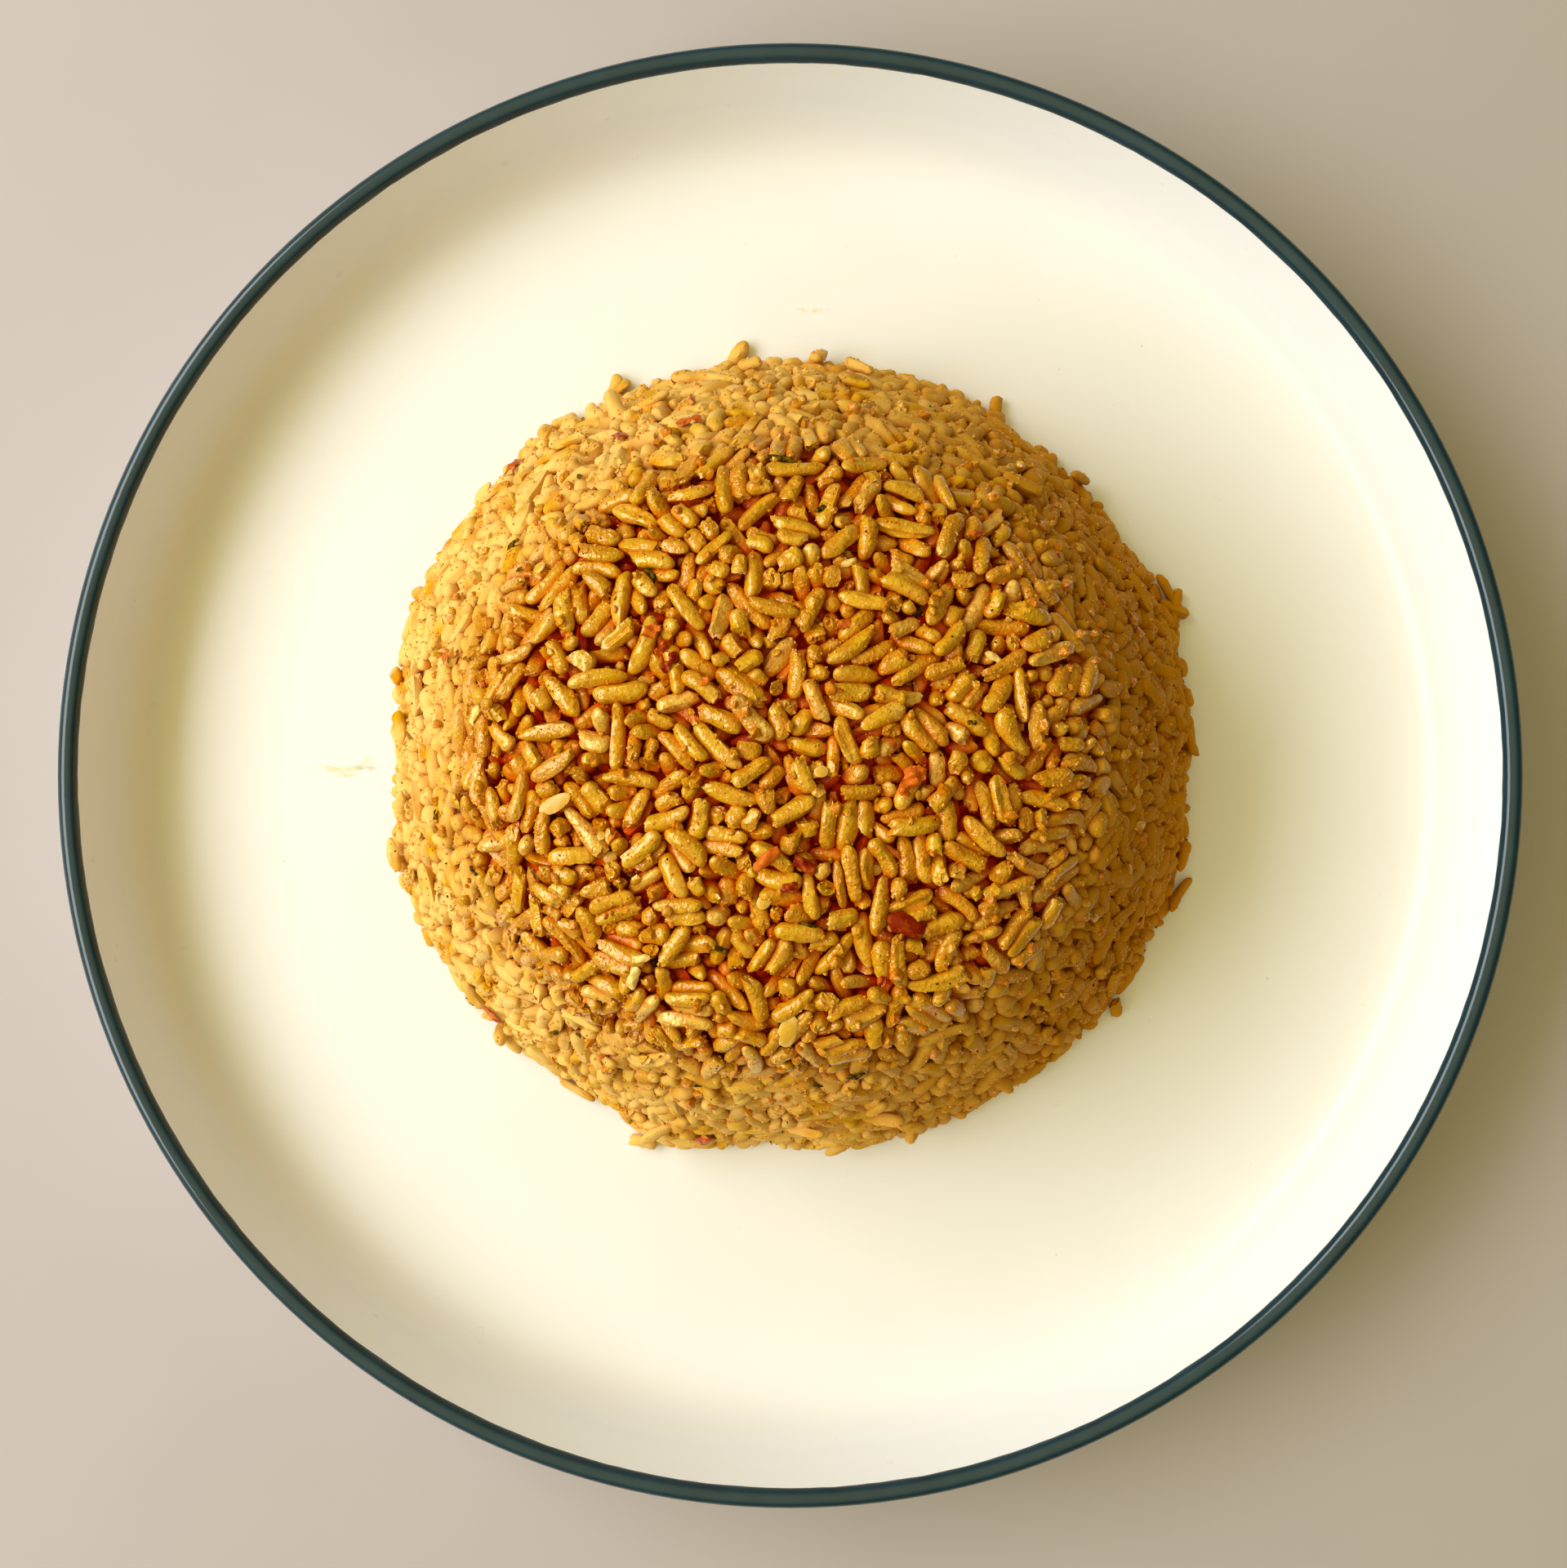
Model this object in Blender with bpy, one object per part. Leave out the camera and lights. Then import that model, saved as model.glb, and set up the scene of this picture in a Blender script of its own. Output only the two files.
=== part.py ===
"""Jollof rice turned out of a bowl on to a rimmed dinner plate.

Two solids, in metres, +Z up: the glazed stoneware plate, turned about Z with its foot ring on z = 0, and
the moulded mound of rice, out to its uneven surface, standing a hair above the plate's floor.
"""

import math

import bmesh
import bpy
from mathutils import Vector, noise

MM = 0.001

# Plate: overall size, wall and lip.
PLATE_RADIUS = 130.5 * MM
PLATE_HEIGHT = 27.0 * MM
FLOOR_HEIGHT = 6.5 * MM
FLOOR_THICKNESS = 3.9 * MM
WALL_THICKNESS = 3.6 * MM
WALL_LEAN_DEG = 12.0
FLOOR_FILLET = 10.0 * MM

# Plate: the ring it stands on.
FOOT_RADIUS = 84.0 * MM
FOOT_WIDTH = 4.5 * MM
FOOT_CHAMFER = 0.8 * MM

# Rice: the bowl that shaped it is three arcs, from the crown down to the brim.
CROWN_ARC = 150.0 * MM
SHOULDER_ARC = 24.0 * MM
FLANK_ARC = 270.0 * MM
CROWN_SLOPE_DEG = 15.0
SHOULDER_SLOPE_DEG = 57.0
BRIM_SLOPE_DEG = 68.0

# Rice: where it stands and how uneven it is.
MOUND_CENTRE = Vector((0.0, 4.0 * MM))
RESTING_GAP = 0.3 * MM
CROWN_LUMPS = 1.2 * MM
FLANK_LUMPS = 0.6 * MM
LUMP_LENGTH = 7.5 * MM
# Where the foot of the mound bulges out or falls short: direction, how far and over what half angle.
FOOT_BULGES = (
    (15.0, 1.6 * MM, 8.0),
    (40.0, -0.8 * MM, 14.0),
    (88.0, -1.1 * MM, 22.0),
    (128.0, 1.1 * MM, 7.0),
    (157.0, 1.5 * MM, 6.0),
    (180.0, -1.6 * MM, 7.0),
    (202.0, 1.4 * MM, 14.0),
    (238.0, -1.4 * MM, 8.0),
    (253.0, 1.3 * MM, 6.0),
    (268.0, -2.0 * MM, 7.0),
    (322.0, 1.0 * MM, 12.0),
    (339.0, 1.4 * MM, 8.0),
)

# How finely the solids are faceted.
PLATE_SEGMENTS = 96
MOUND_SEGMENTS = 84
MOUND_RINGS = 26


def arc(centre, radius, start_deg, end_deg, steps):
    """Points (r, z) on an arc, both ends included."""
    angles = [math.radians(start_deg + (end_deg - start_deg) * i / steps) for i in range(steps + 1)]
    return [(centre[0] + radius * math.cos(a), centre[1] + radius * math.sin(a)) for a in angles]


def new_object(name, bm, colour, roughness):
    """One named object with its own Principled material from a finished bmesh."""
    bmesh.ops.recalc_face_normals(bm, faces=bm.faces)
    mesh = bpy.data.meshes.new(name)
    bm.to_mesh(mesh)
    bm.free()
    mesh.shade_smooth()
    mesh.set_sharp_from_angle(angle=math.radians(40.0))
    material = bpy.data.materials.new(name)
    material.use_nodes = True
    shader = material.node_tree.nodes["Principled BSDF"]
    shader.inputs["Base Color"].default_value = (*colour, 1.0)
    shader.inputs["Roughness"].default_value = roughness
    shader.inputs["Metallic"].default_value = 0.0
    mesh.materials.append(material)
    obj = bpy.data.objects.new(name, mesh)
    bpy.context.scene.collection.objects.link(obj)
    return obj


def plate_outline():
    """The plate's section (r, z) from the centre of its underside, round the lip, to the middle of its floor."""
    lean = math.radians(WALL_LEAN_DEG)
    lip_radius = WALL_THICKNESS / 2
    lip_centre = (PLATE_RADIUS - lip_radius, PLATE_HEIGHT - lip_radius)
    bend_height = FLOOR_HEIGHT + FLOOR_FILLET
    # The wall's mid line leans from the bend up to the lip, so the bend's centre lies inside of the lip.
    mid_bend = FLOOR_FILLET + lip_radius
    rise = lip_centre[1] - (bend_height - mid_bend * math.sin(lean))
    bend_centre = (lip_centre[0] - rise * math.tan(lean) - mid_bend * math.cos(lean), bend_height)
    underside = FLOOR_HEIGHT - FLOOR_THICKNESS
    foot_inner = FOOT_RADIUS - FOOT_WIDTH / 2
    foot_outer = FOOT_RADIUS + FOOT_WIDTH / 2
    outline = [
        (0.0, underside),
        (foot_inner - FOOT_CHAMFER, underside),
        (foot_inner, FOOT_CHAMFER),
        (foot_inner + FOOT_CHAMFER, 0.0),
        (foot_outer - FOOT_CHAMFER, 0.0),
        (foot_outer, FOOT_CHAMFER),
        (foot_outer + FOOT_CHAMFER, underside),
    ]
    outline += arc(bend_centre, FLOOR_FILLET + WALL_THICKNESS, -90.0, -WALL_LEAN_DEG, 5)
    outline += arc(lip_centre, lip_radius, -WALL_LEAN_DEG, 180.0 - WALL_LEAN_DEG, 6)
    outline += arc(bend_centre, FLOOR_FILLET, -WALL_LEAN_DEG, -90.0, 5)
    outline += [(FOOT_RADIUS, FLOOR_HEIGHT), (0.0, FLOOR_HEIGHT)]
    return outline


def make_plate():
    """The plate, its outline spun once round Z."""
    bm = bmesh.new()
    points = [bm.verts.new((r, 0.0, z)) for r, z in plate_outline()]
    edges = [bm.edges.new(pair) for pair in zip(points, points[1:])]
    bmesh.ops.spin(
        bm,
        geom=points + edges,
        cent=(0.0, 0.0, 0.0),
        axis=(0.0, 0.0, 1.0),
        dvec=(0.0, 0.0, 0.0),
        angle=2.0 * math.pi,
        steps=PLATE_SEGMENTS,
    )
    bmesh.ops.remove_doubles(bm, verts=bm.verts, dist=0.01 * MM)
    return new_object("plate", bm, (0.86, 0.82, 0.70), 0.15)


def mould_arcs():
    """The bowl's three arcs as (radius, start slope, end slope), slopes in radians from level."""
    slopes = [math.radians(a) for a in (0.0, CROWN_SLOPE_DEG, SHOULDER_SLOPE_DEG, BRIM_SLOPE_DEG)]
    return list(zip((CROWN_ARC, SHOULDER_ARC, FLANK_ARC), slopes, slopes[1:]))


def mould_length():
    """Length of the bowl's section from the middle of the crown to the brim."""
    return sum(radius * (end - start) for radius, start, end in mould_arcs())


def mould_point(distance):
    """(r, drop below the crown, slope) at a distance down the bowl's section from the middle of the crown."""
    r, drop = 0.0, 0.0
    for radius, start, end in mould_arcs():
        slope = min(start + distance / radius, end)
        r += radius * (math.sin(slope) - math.sin(start))
        drop += radius * (math.cos(start) - math.cos(slope))
        distance -= radius * (slope - start)
        if slope < end:
            break
    return r, drop, slope


def foot_bulge(azimuth):
    """How far the foot of the mound stands out of the round at an azimuth in radians."""
    total = 0.0
    for direction, amount, half_angle in FOOT_BULGES:
        away = math.remainder(azimuth - math.radians(direction), 2.0 * math.pi)
        total += amount * math.exp(-((away / math.radians(half_angle)) ** 2))
    return total


def mound_surface(share, azimuth, height):
    """A point of the rice's lumpy surface, at a share of the way from the crown down to the foot."""
    r, drop, slope = mould_point(share * mould_length())
    r += foot_bulge(azimuth) * share**4
    outward = Vector((math.cos(azimuth) * math.sin(slope), math.sin(azimuth) * math.sin(slope), math.cos(slope)))
    point = Vector((r * math.cos(azimuth), r * math.sin(azimuth), height - drop))
    lump = CROWN_LUMPS + (FLANK_LUMPS - CROWN_LUMPS) * min(1.0, share * 1.6)
    return point + outward * (lump * noise.noise(point / LUMP_LENGTH))


def make_mound():
    """The moulded rice: a lumpy skin over the bowl's shape, closed by a flat base just clear of the plate."""
    height = mould_point(mould_length())[1]
    base = FLOOR_HEIGHT + RESTING_GAP
    bm = bmesh.new()
    crown = bm.verts.new(mound_surface(0.0, 0.0, height))
    rings = []
    for ring in range(1, MOUND_RINGS + 1):
        points = []
        for step in range(MOUND_SEGMENTS):
            point = mound_surface(ring / MOUND_RINGS, 2.0 * math.pi * step / MOUND_SEGMENTS, height)
            if ring == MOUND_RINGS:
                point.z = 0.0
            points.append(bm.verts.new(point))
        rings.append(points)
    for step in range(MOUND_SEGMENTS):
        after = (step + 1) % MOUND_SEGMENTS
        bm.faces.new((crown, rings[0][step], rings[0][after]))
        for upper, lower in zip(rings, rings[1:]):
            bm.faces.new((upper[step], lower[step], lower[after], upper[after]))
    bm.faces.new(rings[-1])
    bmesh.ops.translate(bm, verts=bm.verts, vec=(MOUND_CENTRE.x, MOUND_CENTRE.y, base))
    return new_object("rice_mound", bm, (0.72, 0.36, 0.05), 0.5)


def main():
    for obj in list(bpy.data.objects):
        bpy.data.objects.remove(obj)
    make_plate()
    make_mound()


main()
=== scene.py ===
"""Jollof rice turned out of a bowl on to a cream plate with a navy lip.

The plate is turned finely about its own axis. The rice is packed grain by grain against the inside of the
bowl that shaped it, over a smaller core of rice and starch, and dressed with chilli, thyme, pepper and seeds.
Lengths in fields and in arrays are in millimetres unless a comment says otherwise; meshes are in metres.
"""

import logging
import math
from dataclasses import dataclass, field
from enum import Enum
from functools import cached_property

import bpy
import numpy as np
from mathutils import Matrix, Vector, kdtree, noise


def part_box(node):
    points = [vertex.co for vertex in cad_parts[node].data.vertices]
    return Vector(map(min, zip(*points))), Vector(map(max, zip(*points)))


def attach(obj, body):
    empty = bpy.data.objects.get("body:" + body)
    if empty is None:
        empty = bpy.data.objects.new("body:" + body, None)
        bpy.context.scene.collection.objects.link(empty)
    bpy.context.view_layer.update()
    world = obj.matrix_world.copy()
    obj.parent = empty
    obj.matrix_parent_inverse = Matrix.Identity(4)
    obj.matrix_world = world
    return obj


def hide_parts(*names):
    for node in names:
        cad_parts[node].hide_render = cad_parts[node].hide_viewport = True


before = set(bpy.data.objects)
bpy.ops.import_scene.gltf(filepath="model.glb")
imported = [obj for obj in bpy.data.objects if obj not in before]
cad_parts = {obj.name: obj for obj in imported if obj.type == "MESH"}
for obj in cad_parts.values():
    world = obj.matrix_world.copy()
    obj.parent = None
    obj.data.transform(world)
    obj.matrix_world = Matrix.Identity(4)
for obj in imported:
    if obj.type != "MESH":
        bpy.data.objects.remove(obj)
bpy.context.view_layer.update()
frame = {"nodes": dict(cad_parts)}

LOG = logging.getLogger("jollof_rice")
MM = 0.001
# How far the mound stands from the plate's middle, along Y.
MOUND_SHIFT = 4.0
Colour = tuple[float, float, float]


# ---------------------------------------------------------------------------------------------------------
# Meshes and node materials
# ---------------------------------------------------------------------------------------------------------


def new_piece(
    name: str,
    points: np.ndarray,
    triangles: np.ndarray,
    material: bpy.types.Material,
    values: dict[str, np.ndarray] | None = None,
    crease: float = 0.0,
) -> bpy.types.Object:
    """Make one smooth-shaded mesh object.

    Args:
        name: The object's name.
        points: Vertices in millimetres, shape (n, 3).
        triangles: Vertex numbers, shape (m, 3).
        material: The finish of the whole piece.
        values: Named numbers, one for each vertex, for the material to read.
        crease: The angle in degrees past which an edge is left sharp, or 0 for none.

    Returns:
        The object, linked to the scene.
    """
    mesh = bpy.data.meshes.new(name)
    mesh.vertices.add(len(points))
    mesh.vertices.foreach_set("co", (points * MM).astype(np.float32).ravel())
    mesh.loops.add(triangles.size)
    mesh.loops.foreach_set("vertex_index", triangles.astype(np.int32).ravel())
    mesh.polygons.add(len(triangles))
    mesh.polygons.foreach_set("loop_start", np.arange(0, triangles.size, 3, dtype=np.int32))
    mesh.update(calc_edges=True)
    mesh.shade_smooth()
    if crease:
        mesh.set_sharp_from_angle(angle=math.radians(crease))
    for key, numbers in (values or {}).items():
        layer = mesh.attributes.new(key, "FLOAT", "POINT")
        layer.data.foreach_set("value", numbers.astype(np.float32).ravel())
    mesh.materials.append(material)
    piece = bpy.data.objects.new(name, mesh)
    bpy.context.scene.collection.objects.link(piece)
    return piece


def ring_triangles(rings: int, sides: int) -> np.ndarray:
    """Triangles of a closed form made of one end point, rings of points, and the other end point.

    Args:
        rings: How many rings lie between the two end points.
        sides: Points in each ring.

    Returns:
        Vertex numbers, shape (m, 3), with the first end point numbered 0.
    """
    here = np.arange(sides)
    after = (here + 1) % sides
    last = 1 + rings * sides
    faces = [np.stack([np.zeros(sides, int), 1 + after, 1 + here], 1)]
    for ring in range(rings - 1):
        low = 1 + ring * sides
        high = low + sides
        faces.append(np.stack([low + here, low + after, high + after], 1))
        faces.append(np.stack([low + here, high + after, high + here], 1))
    top = 1 + (rings - 1) * sides
    faces.append(np.stack([top + here, top + after, np.full(sides, last)], 1))
    return np.concatenate(faces)


def repeat_triangles(triangles: np.ndarray, copies: int, points_each: int) -> np.ndarray:
    """The same triangles for many copies of a form whose vertices follow one another."""
    shift = (np.arange(copies) * points_each)[:, None, None]
    return (triangles[None] + shift).reshape(-1, 3)


def joined_piece(
    name: str,
    points: np.ndarray,
    net: tuple[int, int],
    material: bpy.types.Material,
    values: dict[str, np.ndarray],
) -> bpy.types.Object:
    """Join many closed things of one kind into one piece that rides with the part.

    Args:
        name: The piece's name.
        points: Vertices in millimetres, shape (things, vertices, 3), end points first and last.
        net: How many rings each thing has between its end points, and how many sides.
        material: Their finish.
        values: One number for each thing, or for each of its vertices.

    Returns:
        The joined piece.
    """
    count, each = points.shape[:2]
    triangles = repeat_triangles(ring_triangles(*net), count, each)
    spread = {key: many.ravel() if many.ndim == 2 else np.repeat(many, each) for key, many in values.items()}
    piece = new_piece(name, points.reshape(-1, 3), triangles, material, spread, 50.0)
    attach(piece, "root")
    LOG.info("%s: %d of them, %d triangles", name, count, len(triangles))
    return piece


class Finish:
    """A node material under construction, with short calls for the nodes that the finishes share."""

    def __init__(self, name: str) -> None:
        """Start a material that holds only its Principled shader."""
        self.material = bpy.data.materials.new(name)
        self.material.use_nodes = True
        self.tree = self.material.node_tree
        self.shader = self.tree.nodes["Principled BSDF"]
        self.shader.subsurface_method = "BURLEY"

    def set(self, **values: object) -> None:
        """Set sockets of the shader itself, written with _ for spaces."""
        for key, value in values.items():
            self.shader.inputs[key.replace("_", " ")].default_value = value

    def add(self, kind: str, **settings: object) -> bpy.types.Node:
        """A new node of a kind, with its properties set."""
        node = self.tree.nodes.new(kind)
        for key, value in settings.items():
            setattr(node, key, value)
        return node

    def feed(self, socket: bpy.types.NodeSocket, source: object) -> None:
        """Link a socket to another, or give it a plain value."""
        if isinstance(source, bpy.types.NodeSocket):
            self.tree.links.new(source, socket)
        else:
            socket.default_value = source

    def place(self) -> bpy.types.NodeSocket:
        """The point being shaded, in the object's own metres."""
        return self.add("ShaderNodeTexCoord").outputs["Object"]

    def value(self, name: str) -> bpy.types.NodeSocket:
        """A number that the mesh carries at each vertex."""
        return self.add("ShaderNodeAttribute", attribute_name=name).outputs["Fac"]

    def noise(self, size: float, detail: float = 2.0, rough: float = 0.5) -> bpy.types.NodeSocket:
        """Soft noise from 0 to 1 whose features are about a size in millimetres across."""
        node = self.add("ShaderNodeTexNoise")
        self.feed(node.inputs["Vector"], self.place())
        self.feed(node.inputs["Scale"], 1.0 / (size * MM))
        self.feed(node.inputs["Detail"], detail)
        self.feed(node.inputs["Roughness"], rough)
        return node.outputs["Fac"]

    def cells(self, size: float) -> bpy.types.NodeSocket:
        """Distance to the nearest of scattered points a size in millimetres apart."""
        node = self.add("ShaderNodeTexVoronoi")
        self.feed(node.inputs["Vector"], self.place())
        self.feed(node.inputs["Scale"], 1.0 / (size * MM))
        return node.outputs["Distance"]

    def step(self, source: object, low: float, high: float) -> bpy.types.NodeSocket:
        """A smooth rise from 0 at the low value to 1 at the high one, or a fall if low is above high."""
        node = self.add("ShaderNodeMapRange", interpolation_type="SMOOTHSTEP")
        self.feed(node.inputs["Value"], source)
        bottom, top = (0.0, 1.0) if low < high else (1.0, 0.0)
        for key, number in zip(("From Min", "From Max"), sorted((low, high))):
            self.feed(node.inputs[key], number)
        self.feed(node.inputs["To Min"], bottom)
        self.feed(node.inputs["To Max"], top)
        return node.outputs["Result"]

    def sum(self, first: object, second: object, operation: str = "ADD") -> bpy.types.NodeSocket:
        """Two numbers put together, added unless another operation is named."""
        node = self.add("ShaderNodeMath", operation=operation)
        self.feed(node.inputs[0], first)
        self.feed(node.inputs[1], second)
        return node.outputs[0]

    def times(self, first: object, second: object) -> bpy.types.NodeSocket:
        """The product of two numbers."""
        return self.sum(first, second, "MULTIPLY")

    def blend(self, share: object, first: object, second: object) -> bpy.types.NodeSocket:
        """A colour that lies a share of the way from the first to the second."""
        node = self.add("ShaderNodeMix", data_type="RGBA")
        self.feed(node.inputs[0], share)
        for socket, source in ((node.inputs[6], first), (node.inputs[7], second)):
            self.feed(socket, (*source, 1.0) if isinstance(source, tuple) else source)
        return node.outputs[2]

    def bump(self, height: object, depth: float, strength: float = 1.0) -> None:
        """Raise the surface by a height from 0 to 1 that spans a depth in millimetres."""
        node = self.add("ShaderNodeBump")
        self.feed(node.inputs["Height"], height)
        self.feed(node.inputs["Distance"], depth * MM)
        self.feed(node.inputs["Strength"], strength)
        self.feed(self.shader.inputs["Normal"], node.outputs["Normal"])

    def colour(self, source: object) -> None:
        """Give the shader its base colour."""
        self.feed(self.shader.inputs["Base Color"], source)

    def roughness(self, source: object) -> None:
        """Give the shader its roughness."""
        self.feed(self.shader.inputs["Roughness"], source)


# ---------------------------------------------------------------------------------------------------------
# Finishes
# ---------------------------------------------------------------------------------------------------------


@dataclass(frozen=True)
class GrainFinish:
    """Cooked rice stained by tomato, oil and curry.

    The grains carry tone (yellow to brown), spice (how stained), pale (a milky heart), gap_shade (painted
    shade down a gap), pressed (how flat the bowl made them), under (painted shade low on a grain and near a
    neighbour, with oil), starch (how smeared, more on the lit left as painted light) and right_shade (painted
    shade of the shaded right flank), each from 0 to 1.
    """

    yellow: Colour = (0.67, 0.368, 0.006)
    brown: Colour = (0.62, 0.322, 0.005)
    stain: Colour = (0.54, 0.178, 0.002)
    # Painted shade, with oil, low on the grains, down the gaps and where grains touch.
    oil_and_shade: Colour = (0.56, 0.132, 0.001)
    milky: Colour = (0.87, 0.60, 0.15)
    # The starch smear of the flank, laid on more toward the lit left as painted light.
    smear: Colour = (0.86, 0.580, 0.185)
    # Painted shade of the shaded right flank.
    right_shade: Colour = (0.50, 0.200, 0.001)
    # Painted shade, dark red, down the gaps between grains.
    gap: Colour = (0.60, 0.015, 0.0005)
    # Sizes of the grit, of the stains, of the milky granules, which are partly painted glints, and their
    # clusters, of the smears and of the ripples in the surface.
    grit_size: float = 0.9
    stain_size: float = 2.6
    granule_and_glint_size: float = 0.62
    cluster_size: float = 3.2
    smear_size: float = 7.0
    ripple_size: float = 0.72

    def material(self, name: str) -> bpy.types.Material:
        """The rice material."""
        rice = Finish(name)
        grit = rice.noise(self.grit_size, 2.0, 0.6)
        pressed = rice.step(rice.value("pressed"), 0.0, 0.6)
        loose = rice.sum(1.0, rice.times(pressed, -0.97))
        body = rice.blend(rice.value("tone"), self.yellow, self.brown)
        body = rice.blend(rice.times(rice.value("pale"), 0.8), body, self.milky)
        cloudy = rice.sum(rice.noise(self.stain_size, 2.0, 0.6), rice.times(rice.value("spice"), 0.25))
        body = rice.blend(rice.times(rice.step(cloudy, 0.56, 0.78), 0.6), body, self.stain)
        speckles = rice.times(rice.step(grit, 0.46, 0.62), rice.times(loose, 0.55))
        body = rice.blend(speckles, body, self.stain)
        # Milky granules of starch in clusters, partly painted glints.
        clusters = rice.step(rice.noise(self.cluster_size, 1.0), 0.42, 0.58)
        granules = rice.times(rice.step(rice.cells(self.granule_and_glint_size), 0.30, 0.16), clusters)
        body = rice.blend(rice.times(granules, 0.65), body, self.milky)
        # Painted shade, with oil, low on each grain, down the gaps and where grains touch.
        body = rice.blend(rice.times(rice.value("under"), 0.9), body, self.oil_and_shade)
        # The starch smear of the flank, stronger toward the lit left as painted light.
        film = rice.times(rice.value("starch"), rice.step(rice.noise(self.smear_size, 1.0), 0.26, 0.60))
        body = rice.blend(rice.times(film, 0.85), body, self.smear)
        # Painted shade on the shaded right flank.
        body = rice.blend(rice.value("right_shade"), body, self.right_shade)
        # Painted shade down the gaps between grains.
        rice.colour(rice.blend(rice.value("gap_shade"), body, self.gap))
        rice.roughness(rice.sum(rice.times(pressed, 0.35), rice.sum(0.03, rice.times(grit, 0.18))))
        shine = rice.sum(1.0, rice.times(rice.value("under"), -0.9))
        rice.feed(rice.shader.inputs["Specular IOR Level"], rice.times(loose, shine))
        rice.set(Specular_Tint=(1.0, 0.84, 0.60, 1.0), IOR=1.5)
        rough = rice.sum(0.25, rice.times(rice.value("spice"), 0.4))
        ripples = rice.times(rice.noise(self.ripple_size, 1.0, 0.6), rough)
        rice.bump(rice.times(loose, ripples), 0.5)
        return rice.material


@dataclass(frozen=True)
class StarchFinish:
    """Packed rice and starch between the grains, painted shade in the crown's gaps and tan where the bowl
    pressed.
    """

    # Painted shade, seen down the crown's gaps.
    gap: Colour = (0.46, 0.014, 0.0005)
    tan: Colour = (0.72, 0.36, 0.055)

    def material(self, name: str) -> bpy.types.Material:
        """The core's material."""
        core = Finish(name)
        mottled = core.blend(core.step(core.noise(1.6, 1.0), 0.35, 0.7), self.tan, self.gap)
        tan = core.blend(0.3, self.tan, mottled)
        # Painted shade where starch is 0, on the crown, and tan on the flank.
        core.colour(core.blend(core.value("starch"), self.gap, tan))
        core.roughness(core.sum(0.60, core.times(core.noise(0.6), 0.25)))
        core.set(Specular_IOR_Level=0.15, Specular_Tint=(1.0, 0.7, 0.3, 1.0))
        core.bump(core.noise(0.45, 1.0), 0.2, 0.7)
        return core.material


@dataclass(frozen=True)
class SkinFinish:
    """Moist pepper and tomato skin: the pieces carry tone, from bright orange red to dark red."""

    bright: Colour = (0.60, 0.130, 0.008)
    dark: Colour = (0.22, 0.006, 0.0008)
    rough: float = 0.14

    def material(self, name: str) -> bpy.types.Material:
        """The skin's material."""
        skin = Finish(name)
        mottle = skin.sum(skin.value("tone"), skin.times(skin.sum(skin.noise(1.1, 3.0), -0.5), 1.6))
        skin.colour(skin.blend(skin.step(mottle, 0.1, 0.9), self.bright, self.dark))
        skin.roughness(skin.sum(self.rough, skin.times(skin.noise(0.5), 0.2)))
        skin.set(Subsurface_Weight=0.3, Subsurface_Radius=(1.0, 0.12, 0.02), Subsurface_Scale=0.8 * MM)
        skin.set(Specular_IOR_Level=0.5, Specular_Tint=(1.0, 0.60, 0.28, 1.0))
        skin.bump(skin.noise(0.4, 3.0), 0.12, 0.8)
        return skin.material


@dataclass(frozen=True)
class SpiceFinish:
    """Ground spice soaked in oil: the granules carry tone, from golden to orange red."""

    golden: Colour = (0.84, 0.44, 0.040)
    red: Colour = (0.62, 0.190, 0.008)

    def material(self, name: str) -> bpy.types.Material:
        """The spice's material."""
        spice = Finish(name)
        body = spice.blend(spice.value("tone"), self.golden, self.red)
        spice.colour(spice.blend(spice.times(spice.noise(0.4, 2.0), 0.4), body, self.red))
        spice.roughness(spice.sum(0.22, spice.times(spice.noise(0.3), 0.3)))
        spice.set(Specular_Tint=(1.0, 0.85, 0.55, 1.0))
        spice.bump(spice.noise(0.2, 2.0), 0.05, 0.7)
        return spice.material


@dataclass(frozen=True)
class HerbFinish:
    """Dried leaf or ground pepper: nearly black, with a duller second colour."""

    dark: Colour = (0.034, 0.015, 0.001)
    dull: Colour = (0.180, 0.105, 0.008)
    grain: float = 0.6

    def material(self, name: str) -> bpy.types.Material:
        """The leaf's material."""
        herb = Finish(name)
        herb.colour(herb.blend(herb.step(herb.noise(self.grain, 3.0), 0.4, 0.65), self.dark, self.dull))
        herb.roughness(herb.sum(0.45, herb.times(herb.noise(0.3), 0.25)))
        herb.set(Specular_IOR_Level=0.03, Specular_Tint=(1.0, 0.85, 0.5, 1.0))
        herb.bump(herb.noise(0.25, 2.0), 0.08, 0.8)
        return herb.material


@dataclass(frozen=True)
class SeedFinish:
    """A pale seed that light enters, carrying rim: 0 at its darker middle, 1 at its pale edge."""

    rim: Colour = (0.80, 0.51, 0.11)
    heart: Colour = (0.68, 0.37, 0.030)

    def material(self, name: str) -> bpy.types.Material:
        """The seed's material."""
        seed = Finish(name)
        seed.colour(seed.blend(seed.step(seed.value("rim"), 0.62, 0.92), self.heart, self.rim))
        seed.roughness(seed.sum(0.18, seed.times(seed.noise(0.4), 0.2)))
        seed.set(Subsurface_Weight=0.5, Subsurface_Radius=(1.0, 0.6, 0.3), Subsurface_Scale=1.0 * MM)
        seed.bump(seed.noise(0.3, 2.0), 0.06, 0.7)
        return seed.material


@dataclass(frozen=True)
class HuskFinish(SeedFinish):
    """A thin husk of rice, paler than the seeds."""

    rim: Colour = (0.84, 0.60, 0.17)
    heart: Colour = (0.74, 0.44, 0.07)


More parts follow.
